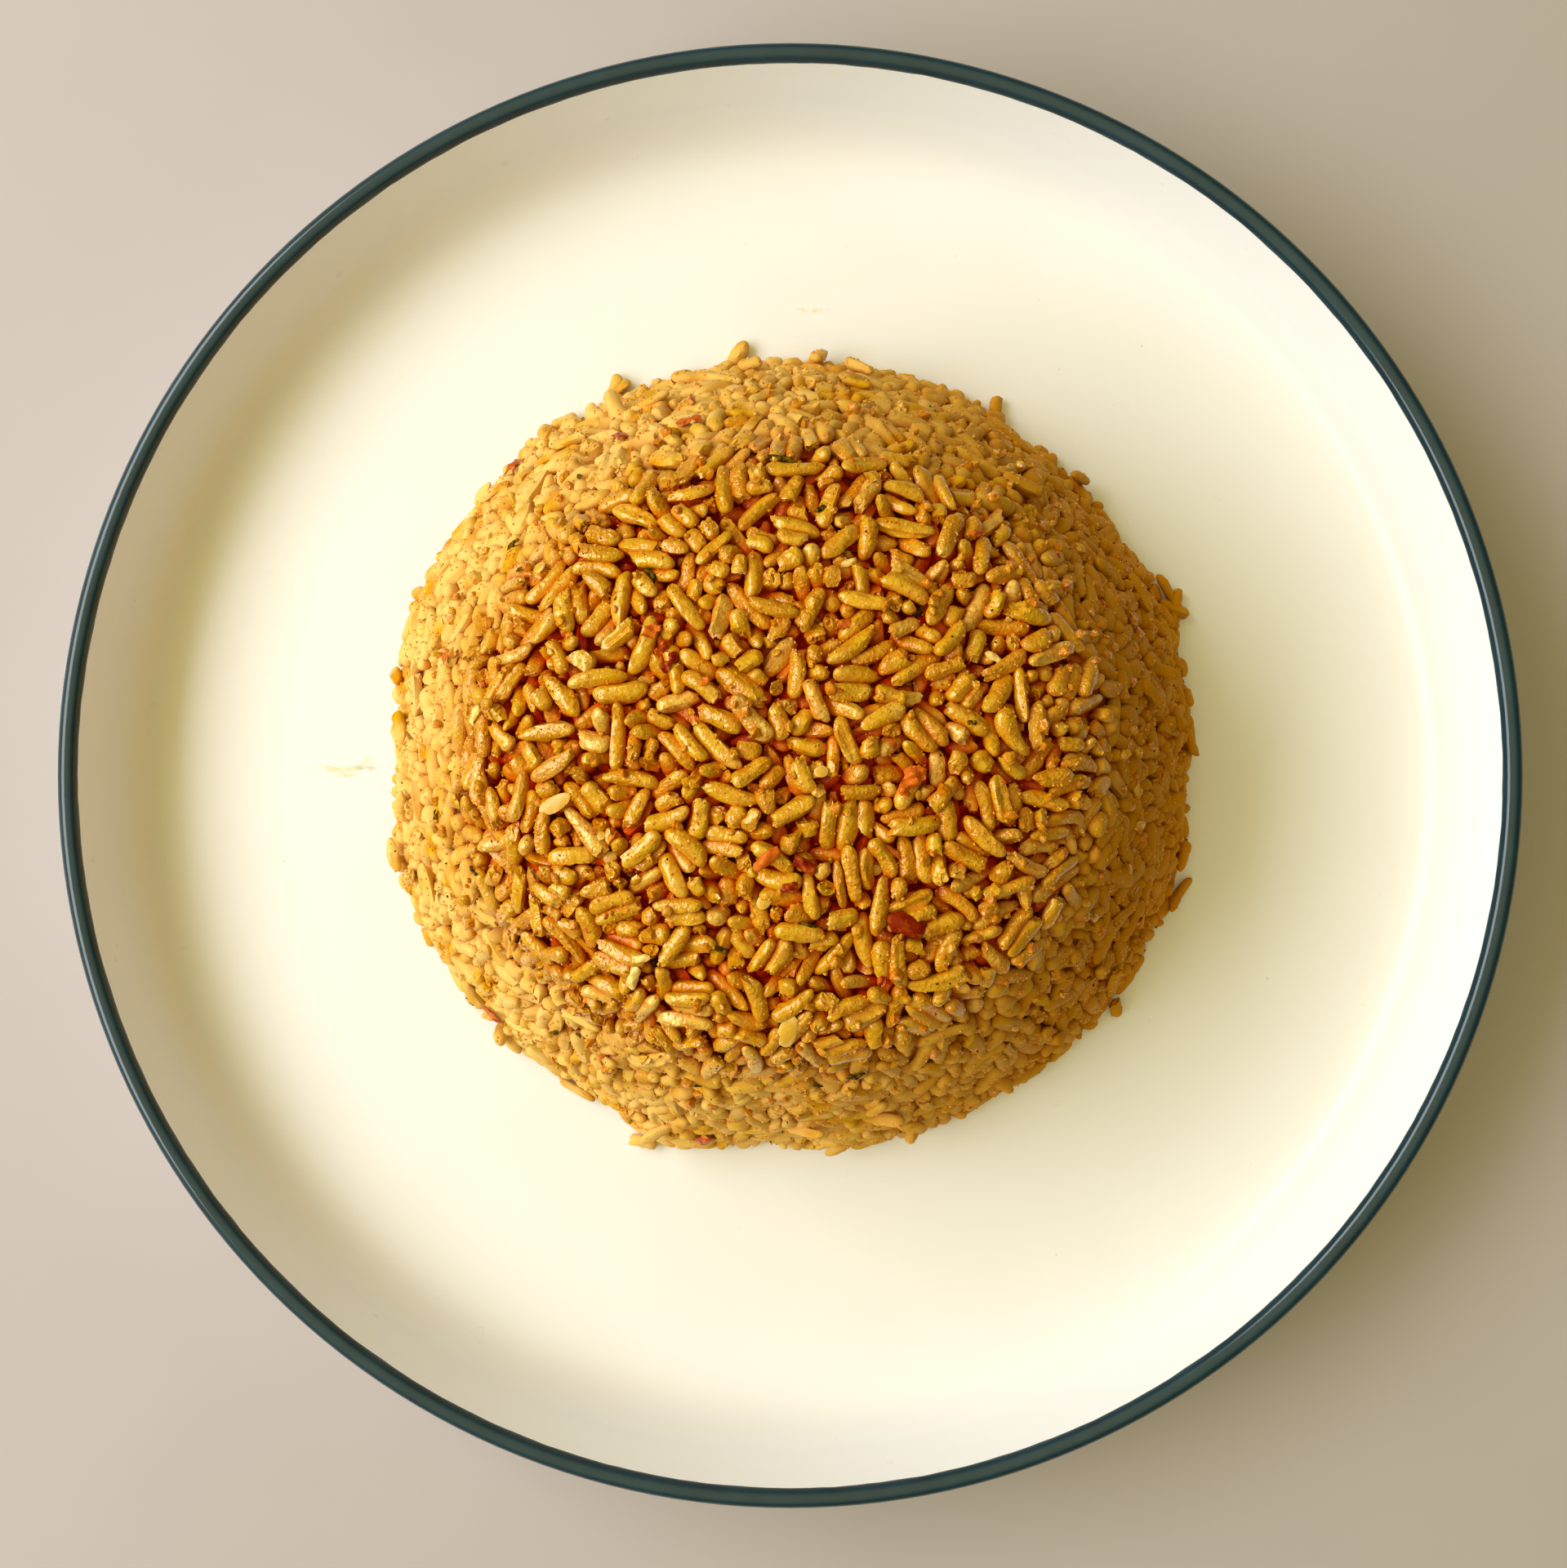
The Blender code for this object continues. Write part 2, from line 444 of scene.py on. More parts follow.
@dataclass(frozen=True)
class GlazeFinish:
    """Glossy cream glaze with painted cool light on the wall, a navy band round the lip and a bare foot."""

    cream: Colour = (0.85, 0.85, 0.895)
    # Painted cool light on the wall.
    wall_light: Colour = (0.87, 0.91, 0.98)
    navy: Colour = (0.007, 0.026, 0.040)
    clay: Colour = (0.55, 0.46, 0.35)
    iron: Colour = (0.50, 0.40, 0.26)

    def material(self, name: str) -> bpy.types.Material:
        """The plate's material."""
        glaze = Finish(name)
        flow = glaze.noise(6.0, 1.0)
        cloudy = glaze.blend(glaze.noise(18.0, 0.0), self.cream, tuple(c * 0.965 for c in self.cream))
        specks = glaze.times(glaze.step(glaze.cells(9.0), 0.035, 0.02), 0.35)
        cloudy = glaze.blend(specks, cloudy, self.iron)
        # Painted cool light up the wall.
        cloudy = glaze.blend(glaze.value("wall"), cloudy, self.wall_light)
        wander = glaze.times(glaze.sum(flow, -0.5), 0.5)
        band = glaze.step(glaze.sum(glaze.value("band"), wander), -0.10, 0.10)
        streaks = glaze.blend(flow, self.navy, tuple(c * 1.9 for c in self.navy))
        body = glaze.blend(band, cloudy, streaks)
        foot = glaze.value("foot")
        glaze.colour(glaze.blend(foot, body, self.clay))
        worn = glaze.times(flow, 0.06)
        satin = glaze.times(glaze.sum(1.0, band, "SUBTRACT"), 0.16)
        glaze.roughness(glaze.sum(glaze.sum(glaze.sum(0.10, worn), satin), glaze.times(foot, 0.5)))
        glaze.set(IOR=1.5)
        glaze.bump(glaze.noise(14.0, 0.0), 0.10, 0.5)
        return glaze.material


@dataclass(frozen=True)
class OilFinish:
    """A thin smear of yellow cooking oil."""

    yellow: Colour = (0.92, 0.80, 0.34)
    thin: Colour = (0.90, 0.84, 0.55)

    def material(self, name: str) -> bpy.types.Material:
        """The oil's material."""
        oil = Finish(name)
        oil.colour(oil.blend(oil.noise(1.5, 2.0), self.yellow, self.thin))
        patchy = oil.step(oil.noise(1.8, 2.0), 0.25, 0.75)
        oil.feed(oil.shader.inputs["Alpha"], oil.times(oil.times(oil.value("thick"), 0.6), patchy))
        oil.roughness(oil.sum(0.12, oil.times(oil.noise(1.0), 0.1)))
        oil.bump(oil.noise(1.0, 2.0), 0.05, 0.5)
        return oil.material


@dataclass(frozen=True)
class FloorFinish:
    """The plain pale ground that everything stands on."""

    greige: Colour = (0.475, 0.435, 0.46)

    def material(self, name: str) -> bpy.types.Material:
        """The floor's material."""
        floor = Finish(name)
        darker = tuple(c * 0.95 for c in self.greige)
        cloudy = floor.noise(40.0, 2.0)
        floor.colour(floor.blend(cloudy, self.greige, darker))
        floor.roughness(floor.sum(0.75, floor.times(cloudy, 0.1)))
        return floor.material


# ---------------------------------------------------------------------------------------------------------
# The plate
# ---------------------------------------------------------------------------------------------------------


@dataclass(frozen=True)
class DinnerPlate:
    """A stoneware plate turned about Z: foot ring, flat floor, low wall and a rounded navy lip."""

    radius: float
    height: float
    floor: float = 6.5
    floor_thickness: float = 3.9
    wall: float = 3.6
    lean: float = 12.0
    fillet: float = 10.0
    foot_radius: float = 84.0
    foot_width: float = 4.5
    foot_chamfer: float = 0.8
    # How far the navy band reaches down inside the lip and outside it.
    band_inside: float = 1.5
    band_outside: float = 4.0
    segments: int = 200

    def outline(self) -> np.ndarray:
        """The section (r, z) from the underside's middle, round the lip, to the floor's middle."""
        lean = math.radians(self.lean)
        lip = self.wall / 2
        lip_centre = (self.radius - lip, self.height - lip)
        bend_height = self.floor + self.fillet
        middle = self.fillet + lip
        rise = lip_centre[1] - (bend_height - middle * math.sin(lean))
        bend_centre = (lip_centre[0] - rise * math.tan(lean) - middle * math.cos(lean), bend_height)
        under = self.floor - self.floor_thickness
        inner = self.foot_radius - self.foot_width / 2
        outer = self.foot_radius + self.foot_width / 2
        chamfer = self.foot_chamfer
        points = [(inner * share, under) for share in (0.3, 0.7)]
        points += [(inner - chamfer, under), (inner, chamfer), (inner + chamfer, 0.0)]
        points += [(outer - chamfer, 0.0), (outer, chamfer), (outer + chamfer, under)]
        points += self.arc(bend_centre, self.fillet + self.wall, -90.0, -self.lean, 10)
        points += self.arc(lip_centre, lip, -self.lean, 180.0 - self.lean, 16)
        points += self.arc(bend_centre, self.fillet, -self.lean, -90.0, 12)
        points += [(bend_centre[0] * share, self.floor) for share in (0.97, 0.85, 0.7, 0.5, 0.25)]
        return np.array(points)

    @staticmethod
    def arc(centre: tuple[float, float], radius: float, start: float, end: float, steps: int) -> list:
        """Points (r, z) on an arc between two angles in degrees, both ends included."""
        angles = np.radians(np.linspace(start, end, steps + 1))
        return [(centre[0] + radius * math.cos(a), centre[1] + radius * math.sin(a)) for a in angles]

    def build(self) -> bpy.types.Object:
        """The dressed plate, standing for the solid one."""
        outline = self.outline()
        turn = np.linspace(0.0, 2.0 * math.pi, self.segments, endpoint=False)
        rings = np.stack(
            [
                outline[:, None, 0] * np.cos(turn),
                outline[:, None, 0] * np.sin(turn),
                np.repeat(outline[:, 1:], self.segments, 1),
            ],
            -1,
        )
        under = np.array([[0.0, 0.0, self.floor - self.floor_thickness]])
        middle = np.array([[0.0, 0.0, self.floor]])
        points = np.concatenate([under, rings.reshape(-1, 3), middle])
        triangles = ring_triangles(len(outline), self.segments)
        height = points[:, 2]
        outside = np.hypot(points[:, 0], points[:, 1]) > self.radius - self.wall / 2
        values = {
            "band": height - self.height + np.where(outside, self.band_outside, self.band_inside),
            "foot": (height < self.foot_chamfer * 0.6).astype(float),
            # How far up the wall, for the painted cool light there.
            "wall": np.clip((height - self.floor - 1.0) / 6.0, 0.0, 1.0),
        }
        piece = new_piece("dinner_plate", points, triangles, GlazeFinish().material("cream_glaze"), values)
        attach(piece, "root")
        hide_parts("plate")
        return piece


@dataclass(frozen=True)
class OilSmears:
    """Thin streaks of oil on the plate's floor beside the rice."""

    floor: float
    seed: int = 11
    # How thick a smear is in its middle, and how far its edge and its underside stand off the floor.
    film: float = 0.06
    edge: float = 0.02
    underside: float = 0.01
    # Middle (x, y), half length along X, half width along Y.
    streaks: tuple[tuple[float, float, float, float], ...] = (
        (-84.5, 1.4, 7.5, 0.7),
        (-80.0, 2.2, 2.4, 1.3),
        (-84.0, 0.2, 3.0, 0.5),
        (4.0, 88.0, 3.4, 0.6),
    )
    rings: int = 5
    sides: int = 28

    def build(self) -> bpy.types.Object:
        """The smears as one piece of shallow lenses."""
        rng = np.random.default_rng(self.seed)
        share = np.linspace(0.2, 1.0, self.rings)
        turn = np.linspace(0.0, 2.0 * math.pi, self.sides, endpoint=False)
        forms, thick = [], []
        for x, y, half_length, half_width in self.streaks:
            ragged = 1.0 + 0.18 * np.sin(3 * turn + rng.uniform(0, 6))
            ragged += 0.12 * np.sin(5 * turn + rng.uniform(0, 6))
            reach = share[:, None] * ragged
            along = x + half_length * reach * np.cos(turn)
            across = y + half_width * reach * np.sin(turn)
            level = self.floor + self.edge + self.film * (1.0 - np.repeat(share[:, None], self.sides, 1) ** 2)
            top = np.stack([along, across, level], -1).reshape(-1, 3)
            crest = np.array([[x, y, self.floor + self.edge + self.film]])
            under = np.array([[x, y, self.floor + self.underside]])
            forms.append(np.concatenate([crest, top, under]))
            fade = np.repeat(1.0 - share**2, self.sides)
            thick.append(np.concatenate([[1.0], fade, [0.0]]))
        triangles = ring_triangles(self.rings, self.sides)[:, ::-1]
        triangles = repeat_triangles(triangles, len(forms), len(forms[0]))
        points = np.concatenate(forms)
        values = {"thick": np.concatenate(thick)}
        piece = new_piece("oil_smears", points, triangles, OilFinish().material("oil"), values)
        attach(piece, "root")
        return piece


# ---------------------------------------------------------------------------------------------------------
# The bowl that shaped the rice
# ---------------------------------------------------------------------------------------------------------


@dataclass(frozen=True)
class Arc:
    """One arc of the bowl's section, with slopes from level in radians and its centre at (r, z)."""

    radius: float
    start: float
    end: float
    centre_r: float
    centre_z: float


@dataclass(frozen=True)
class Mould:
    """The inside of the bowl, as three tangent arcs turned about the mound's axis.

    Points here are in the mound's own coordinates: on the axis, with z = 0 at its foot.
    """

    radii: tuple[float, float, float] = (150.0, 24.0, 270.0)
    slopes: tuple[float, float, float, float] = (0.0, 15.0, 57.0, 68.0)
    # Where the foot bulges out or falls short: direction in degrees, how far, and over what half angle.
    bulges: tuple[tuple[float, float, float], ...] = (
        (15.0, 1.6, 8.0),
        (40.0, -0.8, 14.0),
        (88.0, -1.1, 22.0),
        (128.0, 1.1, 7.0),
        (157.0, 1.5, 6.0),
        (180.0, -1.6, 7.0),
        (202.0, 1.4, 14.0),
        (238.0, -1.4, 8.0),
        (253.0, 1.3, 6.0),
        (268.0, -2.0, 7.0),
        (322.0, 1.0, 12.0),
        (339.0, 1.4, 8.0),
    )
    # How far down the section the loose crown ends, how much further it goes on one side, which side that is
    # in degrees, and over what length it turns into the pressed flank.
    loose_run: float = 56.0
    loose_more: float = 12.0
    loose_side: float = 205.0
    loose_blend: float = 22.0

    @cached_property
    def height(self) -> float:
        """How far the crown stands above the foot."""
        slopes = np.cos(np.radians(self.slopes))
        return float(np.dot(self.radii, slopes[:-1] - slopes[1:]))

    @cached_property
    def reach(self) -> float:
        """How far the foot lies from the axis."""
        slopes = np.sin(np.radians(self.slopes))
        return float(np.dot(self.radii, slopes[1:] - slopes[:-1]))

    @cached_property
    def arcs(self) -> tuple[Arc, ...]:
        """The arcs from the crown down to the brim."""
        slopes = [math.radians(a) for a in self.slopes]
        found, r, z = [], 0.0, self.height
        for radius, start, end in zip(self.radii, slopes, slopes[1:]):
            centre_r = r - radius * math.sin(start)
            centre_z = z - radius * math.cos(start)
            found.append(Arc(radius, start, end, centre_r, centre_z))
            r = centre_r + radius * math.sin(end)
            z = centre_z + radius * math.cos(end)
        return tuple(found)

    @cached_property
    def length(self) -> float:
        """Length of the section from the crown to the brim."""
        return sum(arc.radius * (arc.end - arc.start) for arc in self.arcs)

    def bulge(self, azimuth: np.ndarray, z: np.ndarray) -> np.ndarray:
        """How far the surface stands out of the round, fading from the foot upwards."""
        total = np.zeros_like(azimuth)
        for direction, amount, half_angle in self.bulges:
            away = np.abs((azimuth - math.radians(direction) + math.pi) % (2.0 * math.pi) - math.pi)
            total += amount * np.exp(-((away / math.radians(half_angle)) ** 2))
        return total * np.clip(1.0 - z / self.height, 0.0, 1.0) ** 1.5

    def locate(self, points: np.ndarray) -> tuple[np.ndarray, np.ndarray, np.ndarray, np.ndarray]:
        """Where points lie against the bowl.

        Args:
            points: Points in the mound's coordinates, last axis 3.

        Returns:
            Depth under the surface, its slope, the azimuth, and how far down the section that is.
        """
        x, y, z = np.moveaxis(points, -1, 0)
        azimuth = np.arctan2(y, x)
        reach = np.hypot(x, y) - self.bulge(azimuth, z)
        depth = np.zeros_like(reach)
        slope = np.zeros_like(reach)
        run = np.zeros_like(reach)
        above = 0.0
        for number, arc in enumerate(self.arcs):
            along_r = reach - arc.centre_r
            along_z = z - arc.centre_z
            turned = np.arctan2(along_r, along_z)
            here = turned >= arc.start if number else np.ones_like(turned, bool)
            depth = np.where(here, arc.radius - np.hypot(along_r, along_z), depth)
            slope = np.where(here, turned, slope)
            run = np.where(here, above + arc.radius * (turned - arc.start), run)
            above += arc.radius * (arc.end - arc.start)
        return depth, slope, azimuth, run

    def measure(self, points: np.ndarray) -> tuple[np.ndarray, np.ndarray, np.ndarray]:
        """What the bowl is like where points lie against it.

        Args:
            points: Points in the mound's coordinates, last axis 3.

        Returns:
            Depth under the surface, its outward normal, and how pressed the rice is there, from 0 to 1.
        """
        depth, slope, azimuth, run = self.locate(points)
        level = np.sin(slope)
        normal = np.stack([level * np.cos(azimuth), level * np.sin(azimuth), np.cos(slope)], -1)
        return depth, normal, self.pressed(run, azimuth)

    def surface(self, share: np.ndarray, azimuth: np.ndarray, depth: np.ndarray | float = 0.0) -> np.ndarray:
        """Points at a depth under the surface.

        Args:
            share: How far down the section, from 0 at the crown to 1 at the brim.
            azimuth: Direction round the axis in radians.
            depth: How far under the surface.

        Returns:
            Points in the mound's coordinates, last axis 3.
        """
        run = share * self.length
        r = np.zeros_like(run)
        z = np.full_like(run, self.height)
        slope = np.zeros_like(run)
        for arc in self.arcs:
            turned = np.clip(run / arc.radius, 0.0, arc.end - arc.start)
            r = r + arc.radius * (np.sin(arc.start + turned) - math.sin(arc.start))
            z = z - arc.radius * (math.cos(arc.start) - np.cos(arc.start + turned))
            slope = slope + turned
            run = run - arc.radius * turned
        r = r + self.bulge(azimuth, z) - depth * np.sin(slope)
        z = z - depth * np.cos(slope)
        return np.stack([r * np.cos(azimuth), r * np.sin(azimuth), z], -1)

    def pressed(self, run: np.ndarray, azimuth: np.ndarray) -> np.ndarray:
        """0 on the loose crown, 1 on the flank that the bowl pressed, which starts lower on the left."""
        lobe = np.clip(np.cos(azimuth - math.radians(self.loose_side)), 0.0, 1.0)
        share = np.clip((run - self.loose_run - self.loose_more * lobe) / self.loose_blend + 0.5, 0.0, 1.0)
        return share * share * (3.0 - 2.0 * share)


# ---------------------------------------------------------------------------------------------------------
# Grains
# ---------------------------------------------------------------------------------------------------------


class GrainKind(Enum):
    """The sorts of grain in the heap, each made as one piece."""

    CROWN_WHOLE = "crown_grains"
    CROWN_SPLIT = "split_grains"
    CROWN_BROKEN = "broken_grains"
    FLANK_FLAT = "pressed_grains"
    FLANK_UPRIGHT = "end_on_grains"
    FLANK_BROKEN = "pressed_broken_grains"
    BURIED = "buried_grains"
    LOOSE = "loose_grains"


@dataclass(frozen=True)
class GrainForm:
    """How a kind is shaped.

    It has so many rings and sides, a share of grains with a cut end, a furrow so deep and ripples so rough.
    """

    rings: int
    sides: int
    cut: float
    furrow: float = 0.0
    rough: float = 1.0


FORMS = {
    GrainKind.CROWN_WHOLE: GrainForm(13, 13, cut=0.6),
    GrainKind.CROWN_SPLIT: GrainForm(12, 18, cut=0.5, furrow=0.45),
    GrainKind.CROWN_BROKEN: GrainForm(11, 12, cut=1.0),
    GrainKind.FLANK_FLAT: GrainForm(10, 10, cut=0.2, rough=0.3),
    GrainKind.FLANK_UPRIGHT: GrainForm(9, 10, cut=0.2, rough=0.3),
    GrainKind.FLANK_BROKEN: GrainForm(9, 10, cut=0.4, rough=0.4),
    GrainKind.BURIED: GrainForm(5, 6, cut=0.3),
    GrainKind.LOOSE: GrainForm(12, 12, cut=0.5),
}


@dataclass
class Grains:
    """Many grains as rods: the two ends of each rod's axis, its radius, and what the grain is like."""

    ends: np.ndarray
    radius: np.ndarray
    whole: np.ndarray
    rank: np.ndarray

    @property
    def count(self) -> int:
        """How many grains there are."""
        return len(self.radius)

    @property
    def middle(self) -> np.ndarray:
        """The middles of the grains."""
        return self.ends.mean(1)

    @property
    def half(self) -> np.ndarray:
        """Half the length of each rod's axis."""
        return np.linalg.norm(self.ends[:, 1] - self.ends[:, 0], axis=1) / 2

    @staticmethod
    def span(middle: np.ndarray, axis: np.ndarray, half: np.ndarray) -> np.ndarray:
        """The two ends of each rod, from its middle, its direction and half its length."""
        return np.stack([middle - axis * half[:, None], middle + axis * half[:, None]], 1)


def search_tree(points: np.ndarray) -> kdtree.KDTree:
    """A tree that finds the nearest of many points, numbered in their order."""
    tree = kdtree.KDTree(len(points))
    for number, point in enumerate(points):
        tree.insert(point, number)
    tree.balance()
    return tree


@dataclass
class Packing:
    """Grains poured into the bowl and pressed until they hardly overlap."""

    mould: Mould
    seed: int = 7
    # Whole grains: their length and width with the spread of each, and how much fatter the pressed ones are.
    length: float = 8.4
    length_spread: float = 1.0
    shortest: float = 6.2
    longest: float = 10.8
    width: float = 2.80
    width_spread: float = 0.22
    fatter: float = 0.12
    # Broken grains: their share on the crown, how much more it is on the flank, and the length left of each.
    broken_share: float = 0.34
    broken_more: float = 0.12
    least_left: float = 0.38
    most_left: float = 0.72
    # Grains to the square millimetre, and the depths under the surface that they fill.
    crown_density: float = 0.153
    flank_density: float = 0.108
    shell_top: float = 1.2
    crown_shell: float = 7.0
    flank_shell: float = 4.2
    # How far grains are laid down level with the surface on the crown, and how much less on the flank.
    lying: float = 0.60
    lying_less: float = 0.20
    # The share of their thickness at which grains come to rest, and how much less it is on the flank.
    squeeze: float = 0.93
    crush: float = 0.11
    # How far a grain may be sunk below its neighbours, less a share that stands proud, how high the swells of
    # the surface are, and how much of all this the bowl flattened on the flank.
    sunk: float = 2.1
    stand_proud: float = 0.5
    swell: float = 0.8
    flattened: float = 0.52
    # How far a round pushes the grains out against the bowl at first, and the share of an overlap it mends.
    pressure: float = 0.05
    mended: float = 0.3
    # Rounds of pushing apart, and the rounds between one search for neighbours and the next.
    rounds: int = 110
    search_every: int = 6

    def pour(self) -> Grains:
        """Grains scattered at random under the bowl's surface.

        Returns:
            The grains, before they are parted.
        """
        rng = np.random.default_rng(self.seed)
        shares = np.linspace(0.0, 1.0, 401)
        girth = np.hypot(*np.moveaxis(self.mould.surface(shares, np.zeros_like(shares))[..., :2], -1, 0))
        weight = girth * self.crown_density
        total = int(np.trapz(weight, shares * self.mould.length) * 2.0 * math.pi)
        share = np.interp(rng.random(total), np.cumsum(weight) / weight.sum(), shares)
        azimuth = rng.uniform(0.0, 2.0 * math.pi, total)
        steep = self.mould.measure(self.mould.surface(share, azimuth))[2]
        density = self.crown_density + (self.flank_density - self.crown_density) * steep
        kept = rng.random(total) < density / self.crown_density
        share, azimuth, steep = share[kept], azimuth[kept], steep[kept]
        total = len(share)
        shell = self.crown_shell + (self.flank_shell - self.crown_shell) * steep
        depth = self.shell_top + rng.random(total) * (shell - self.shell_top)
        middle = self.mould.surface(share, azimuth, depth)
        broken = rng.random(total) < self.broken_share + self.broken_more * steep
        length = np.clip(rng.normal(self.length, self.length_spread, total), self.shortest, self.longest)
        length = np.where(broken, length * rng.uniform(self.least_left, self.most_left, total), length)
        radius = rng.normal(self.width, self.width_spread, total) / 2 * (1.0 + self.fatter * steep)
        normal = self.mould.measure(middle)[1]
        axis = rng.normal(size=(total, 3))
        upright = (axis * normal).sum(1, keepdims=True) * normal
        axis = axis - upright * (self.lying - self.lying_less * steep)[:, None]
        axis /= np.linalg.norm(axis, axis=1, keepdims=True)
        half = np.maximum(length / 2 - radius, 0.25)
        return Grains(Grains.span(middle, axis, half), radius, ~broken, rng.random(total))

    def settle(self) -> Grains:
        """Pour the grains and part them, keeping them inside the bowl and above the plate.

        Returns:
            The settled grains.
        """
        grains = self.pour()
        half = grains.half
        rng = np.random.default_rng(self.seed + 1)
        jumble = rng.random(grains.count)
        for turn in range(self.rounds):
            if turn % self.search_every == 0:
                pairs = self.neighbours(grains)
                steep = self.mould.measure(grains.middle)[2]
            self.part(grains, pairs, self.squeeze - self.crush * steep[pairs[0]], self.mended)
            self.press(grains, half, jumble, 1.0 - turn / self.rounds)
        return grains

    @staticmethod
    def neighbours(grains: Grains) -> tuple[np.ndarray, np.ndarray]:
        """Numbers of the pairs of grains that are near enough to touch."""
        middle = grains.middle
        reach = grains.half + grains.radius
        tree = search_tree(middle)
        first, second = [], []
        widest = float(reach.max())
        for number, point in enumerate(middle):
            for _, other, apart in tree.find_range(point, reach[number] + widest):
                if other > number and apart < reach[number] + reach[other]:
                    first.append(number)
                    second.append(other)
        return np.array(first), np.array(second)

    @staticmethod
    def part(
        grains: Grains, pairs: tuple[np.ndarray, np.ndarray], squeeze: np.ndarray, mended: float
    ) -> None:
        """Push overlapping grains away from each other where they are closest.

        Args:
            grains: The grains, changed in place.
            pairs: Numbers of the grains of each pair.
            squeeze: The share of their thickness at which the grains of each pair come to rest.
            mended: The share of each overlap that is taken away.
        """
        first, second = pairs
        start_a, start_b = grains.ends[first, 0], grains.ends[second, 0]
        along_a = grains.ends[first, 1] - start_a
        along_b = grains.ends[second, 1] - start_b
        between = start_a - start_b
        aa, bb = (along_a**2).sum(1), (along_b**2).sum(1)
        ab = (along_a * along_b).sum(1)
        ac, bc = (along_a * between).sum(1), (along_b * between).sum(1)
        span = np.maximum(aa * bb - ab * ab, 1e-6)
        on_a = np.clip((ab * bc - ac * bb) / span, 0.0, 1.0)
        on_b = np.clip((ab * on_a + bc) / bb, 0.0, 1.0)
        on_a = np.clip((ab * on_b - ac) / aa, 0.0, 1.0)
        apart = between + along_a * on_a[:, None] - along_b * on_b[:, None]
        gap = np.maximum(np.linalg.norm(apart, axis=1), 1e-4)
        overlap = (grains.radius[first] + grains.radius[second]) * squeeze - gap
        hit = overlap > 0.0
        push = apart[hit] / gap[hit, None] * (overlap[hit] * mended)[:, None]
        for numbers, where, sign in ((first[hit], on_a[hit], 1.0), (second[hit], on_b[hit], -1.0)):
            lift = sign * push / ((1.0 - where) ** 2 + where**2)[:, None]
            np.add.at(grains.ends, (numbers, 0), lift * (1.0 - where)[:, None])
            np.add.at(grains.ends, (numbers, 1), lift * where[:, None])

    def press(self, grains: Grains, half: np.ndarray, jumble: np.ndarray, ease: float) -> None:
        """Keep every grain its own length, inside the bowl, near its surface and above the plate.

        Args:
            grains: The grains, changed in place.
            half: Half the length of each rod.
            jumble: A random number for each grain, which sets how far below its neighbours it lies.
            ease: From 1 at the start to 0 at the end; the outward pressure fades with it.
        """
        middle = grains.middle
        along = grains.ends[:, 1] - grains.ends[:, 0]
        along /= np.maximum(np.linalg.norm(along, axis=1, keepdims=True), 1e-6)
        grains.ends[:] = Grains.span(middle, along, half)
        depth, normal, steep = self.mould.measure(grains.ends)
        x, y = grains.ends[..., 0], grains.ends[..., 1]
        # Waves about 20 mm long, bent so that they don't line up.
        waves = np.sin(x / 3.1 + 0.7 * np.sin(y / 4.3)) * np.sin(y / 2.9 + 0.9 * np.sin(x / 5.1))
        lower = self.sunk * jumble[:, None] ** 1.4 - self.stand_proud + self.swell * waves
        least = grains.radius[:, None] * (1.0 - 0.06 * steep) + (1.0 - self.flattened * steep) * lower
        inward = np.maximum(least - depth, 0.0)
        grains.ends -= normal * inward[..., None]
        nearest = depth.min(1)
        steepest = steep.mean(1)
        shell = self.crown_shell + (self.flank_shell - self.crown_shell) * steepest
        outward = np.clip(nearest - shell, 0.0, 0.5) + self.pressure * ease
        grains.ends += (normal * outward[:, None, None]) * 0.7
        low = np.maximum(grains.radius[:, None] * 0.92 - grains.ends[..., 2], 0.0)
        grains.ends[..., 2] += low


@dataclass(frozen=True)
class Strays:
    """Grains that stick out of the foot of the heap, and those that lie on the plate beside it."""

    mould: Mould
    seed: int = 31
    # Grains that jut out: how many, how far up the section from the foot, and how far in or out they lie.
    jutting: int = 78
    climb: float = 0.36
    offset: float = 0.9
    length: float = 7.4
    length_spread: float = 1.4
    shortest: float = 4.2
    longest: float = 10.2
    width: float = 2.7
    # Middle (x, y) from the mound's axis, length, and angle from X of each grain on the plate.
    beside: tuple[tuple[float, float, float, float], ...] = (
        (-33.0, 69.6, 5.0, 75.0),
        (-9.6, 75.8, 5.6, 60.0),
        (-28.0, -73.0, 6.0, -10.0),
    )

    def grains(self) -> Grains:
        """The jutting grains, then those beside the heap."""
        rng = np.random.default_rng(self.seed)
        count = self.jutting
        share = 1.0 - self.climb * rng.random(count) ** 1.4
        azimuth = rng.uniform(0.0, 2.0 * math.pi, count)
        middle = self.mould.surface(share, azimuth, rng.uniform(-self.offset, self.offset, count))
        normal = self.mould.measure(middle)[1]
        axis = rng.normal(size=(count, 3))
        axis -= (axis * normal).sum(1, keepdims=True) * normal * rng.uniform(0.3, 1.0, (count, 1))
        length = np.clip(rng.normal(self.length, self.length_spread, count), self.shortest, self.longest)
        angle = np.radians([grain[3] for grain in self.beside])
        lying = np.array([[x, y, 1.2] for x, y, _, _ in self.beside])
        middle = np.concatenate([middle, lying])
        axis = np.concatenate([axis, np.stack([np.cos(angle), np.sin(angle), 0.0 * angle], 1)])
        length = np.concatenate([length, [grain[2] for grain in self.beside]])
        axis /= np.linalg.norm(axis, axis=1, keepdims=True)
        radius = self.width / 2 * rng.uniform(0.9, 1.1, len(length))
        half = length / 2 - radius
        ends = Grains.span(middle, axis, half)
        ends[..., 2] = np.maximum(ends[..., 2], radius[:, None] * 0.9)
        return Grains(ends, radius, length > 6.0, rng.random(len(length)))


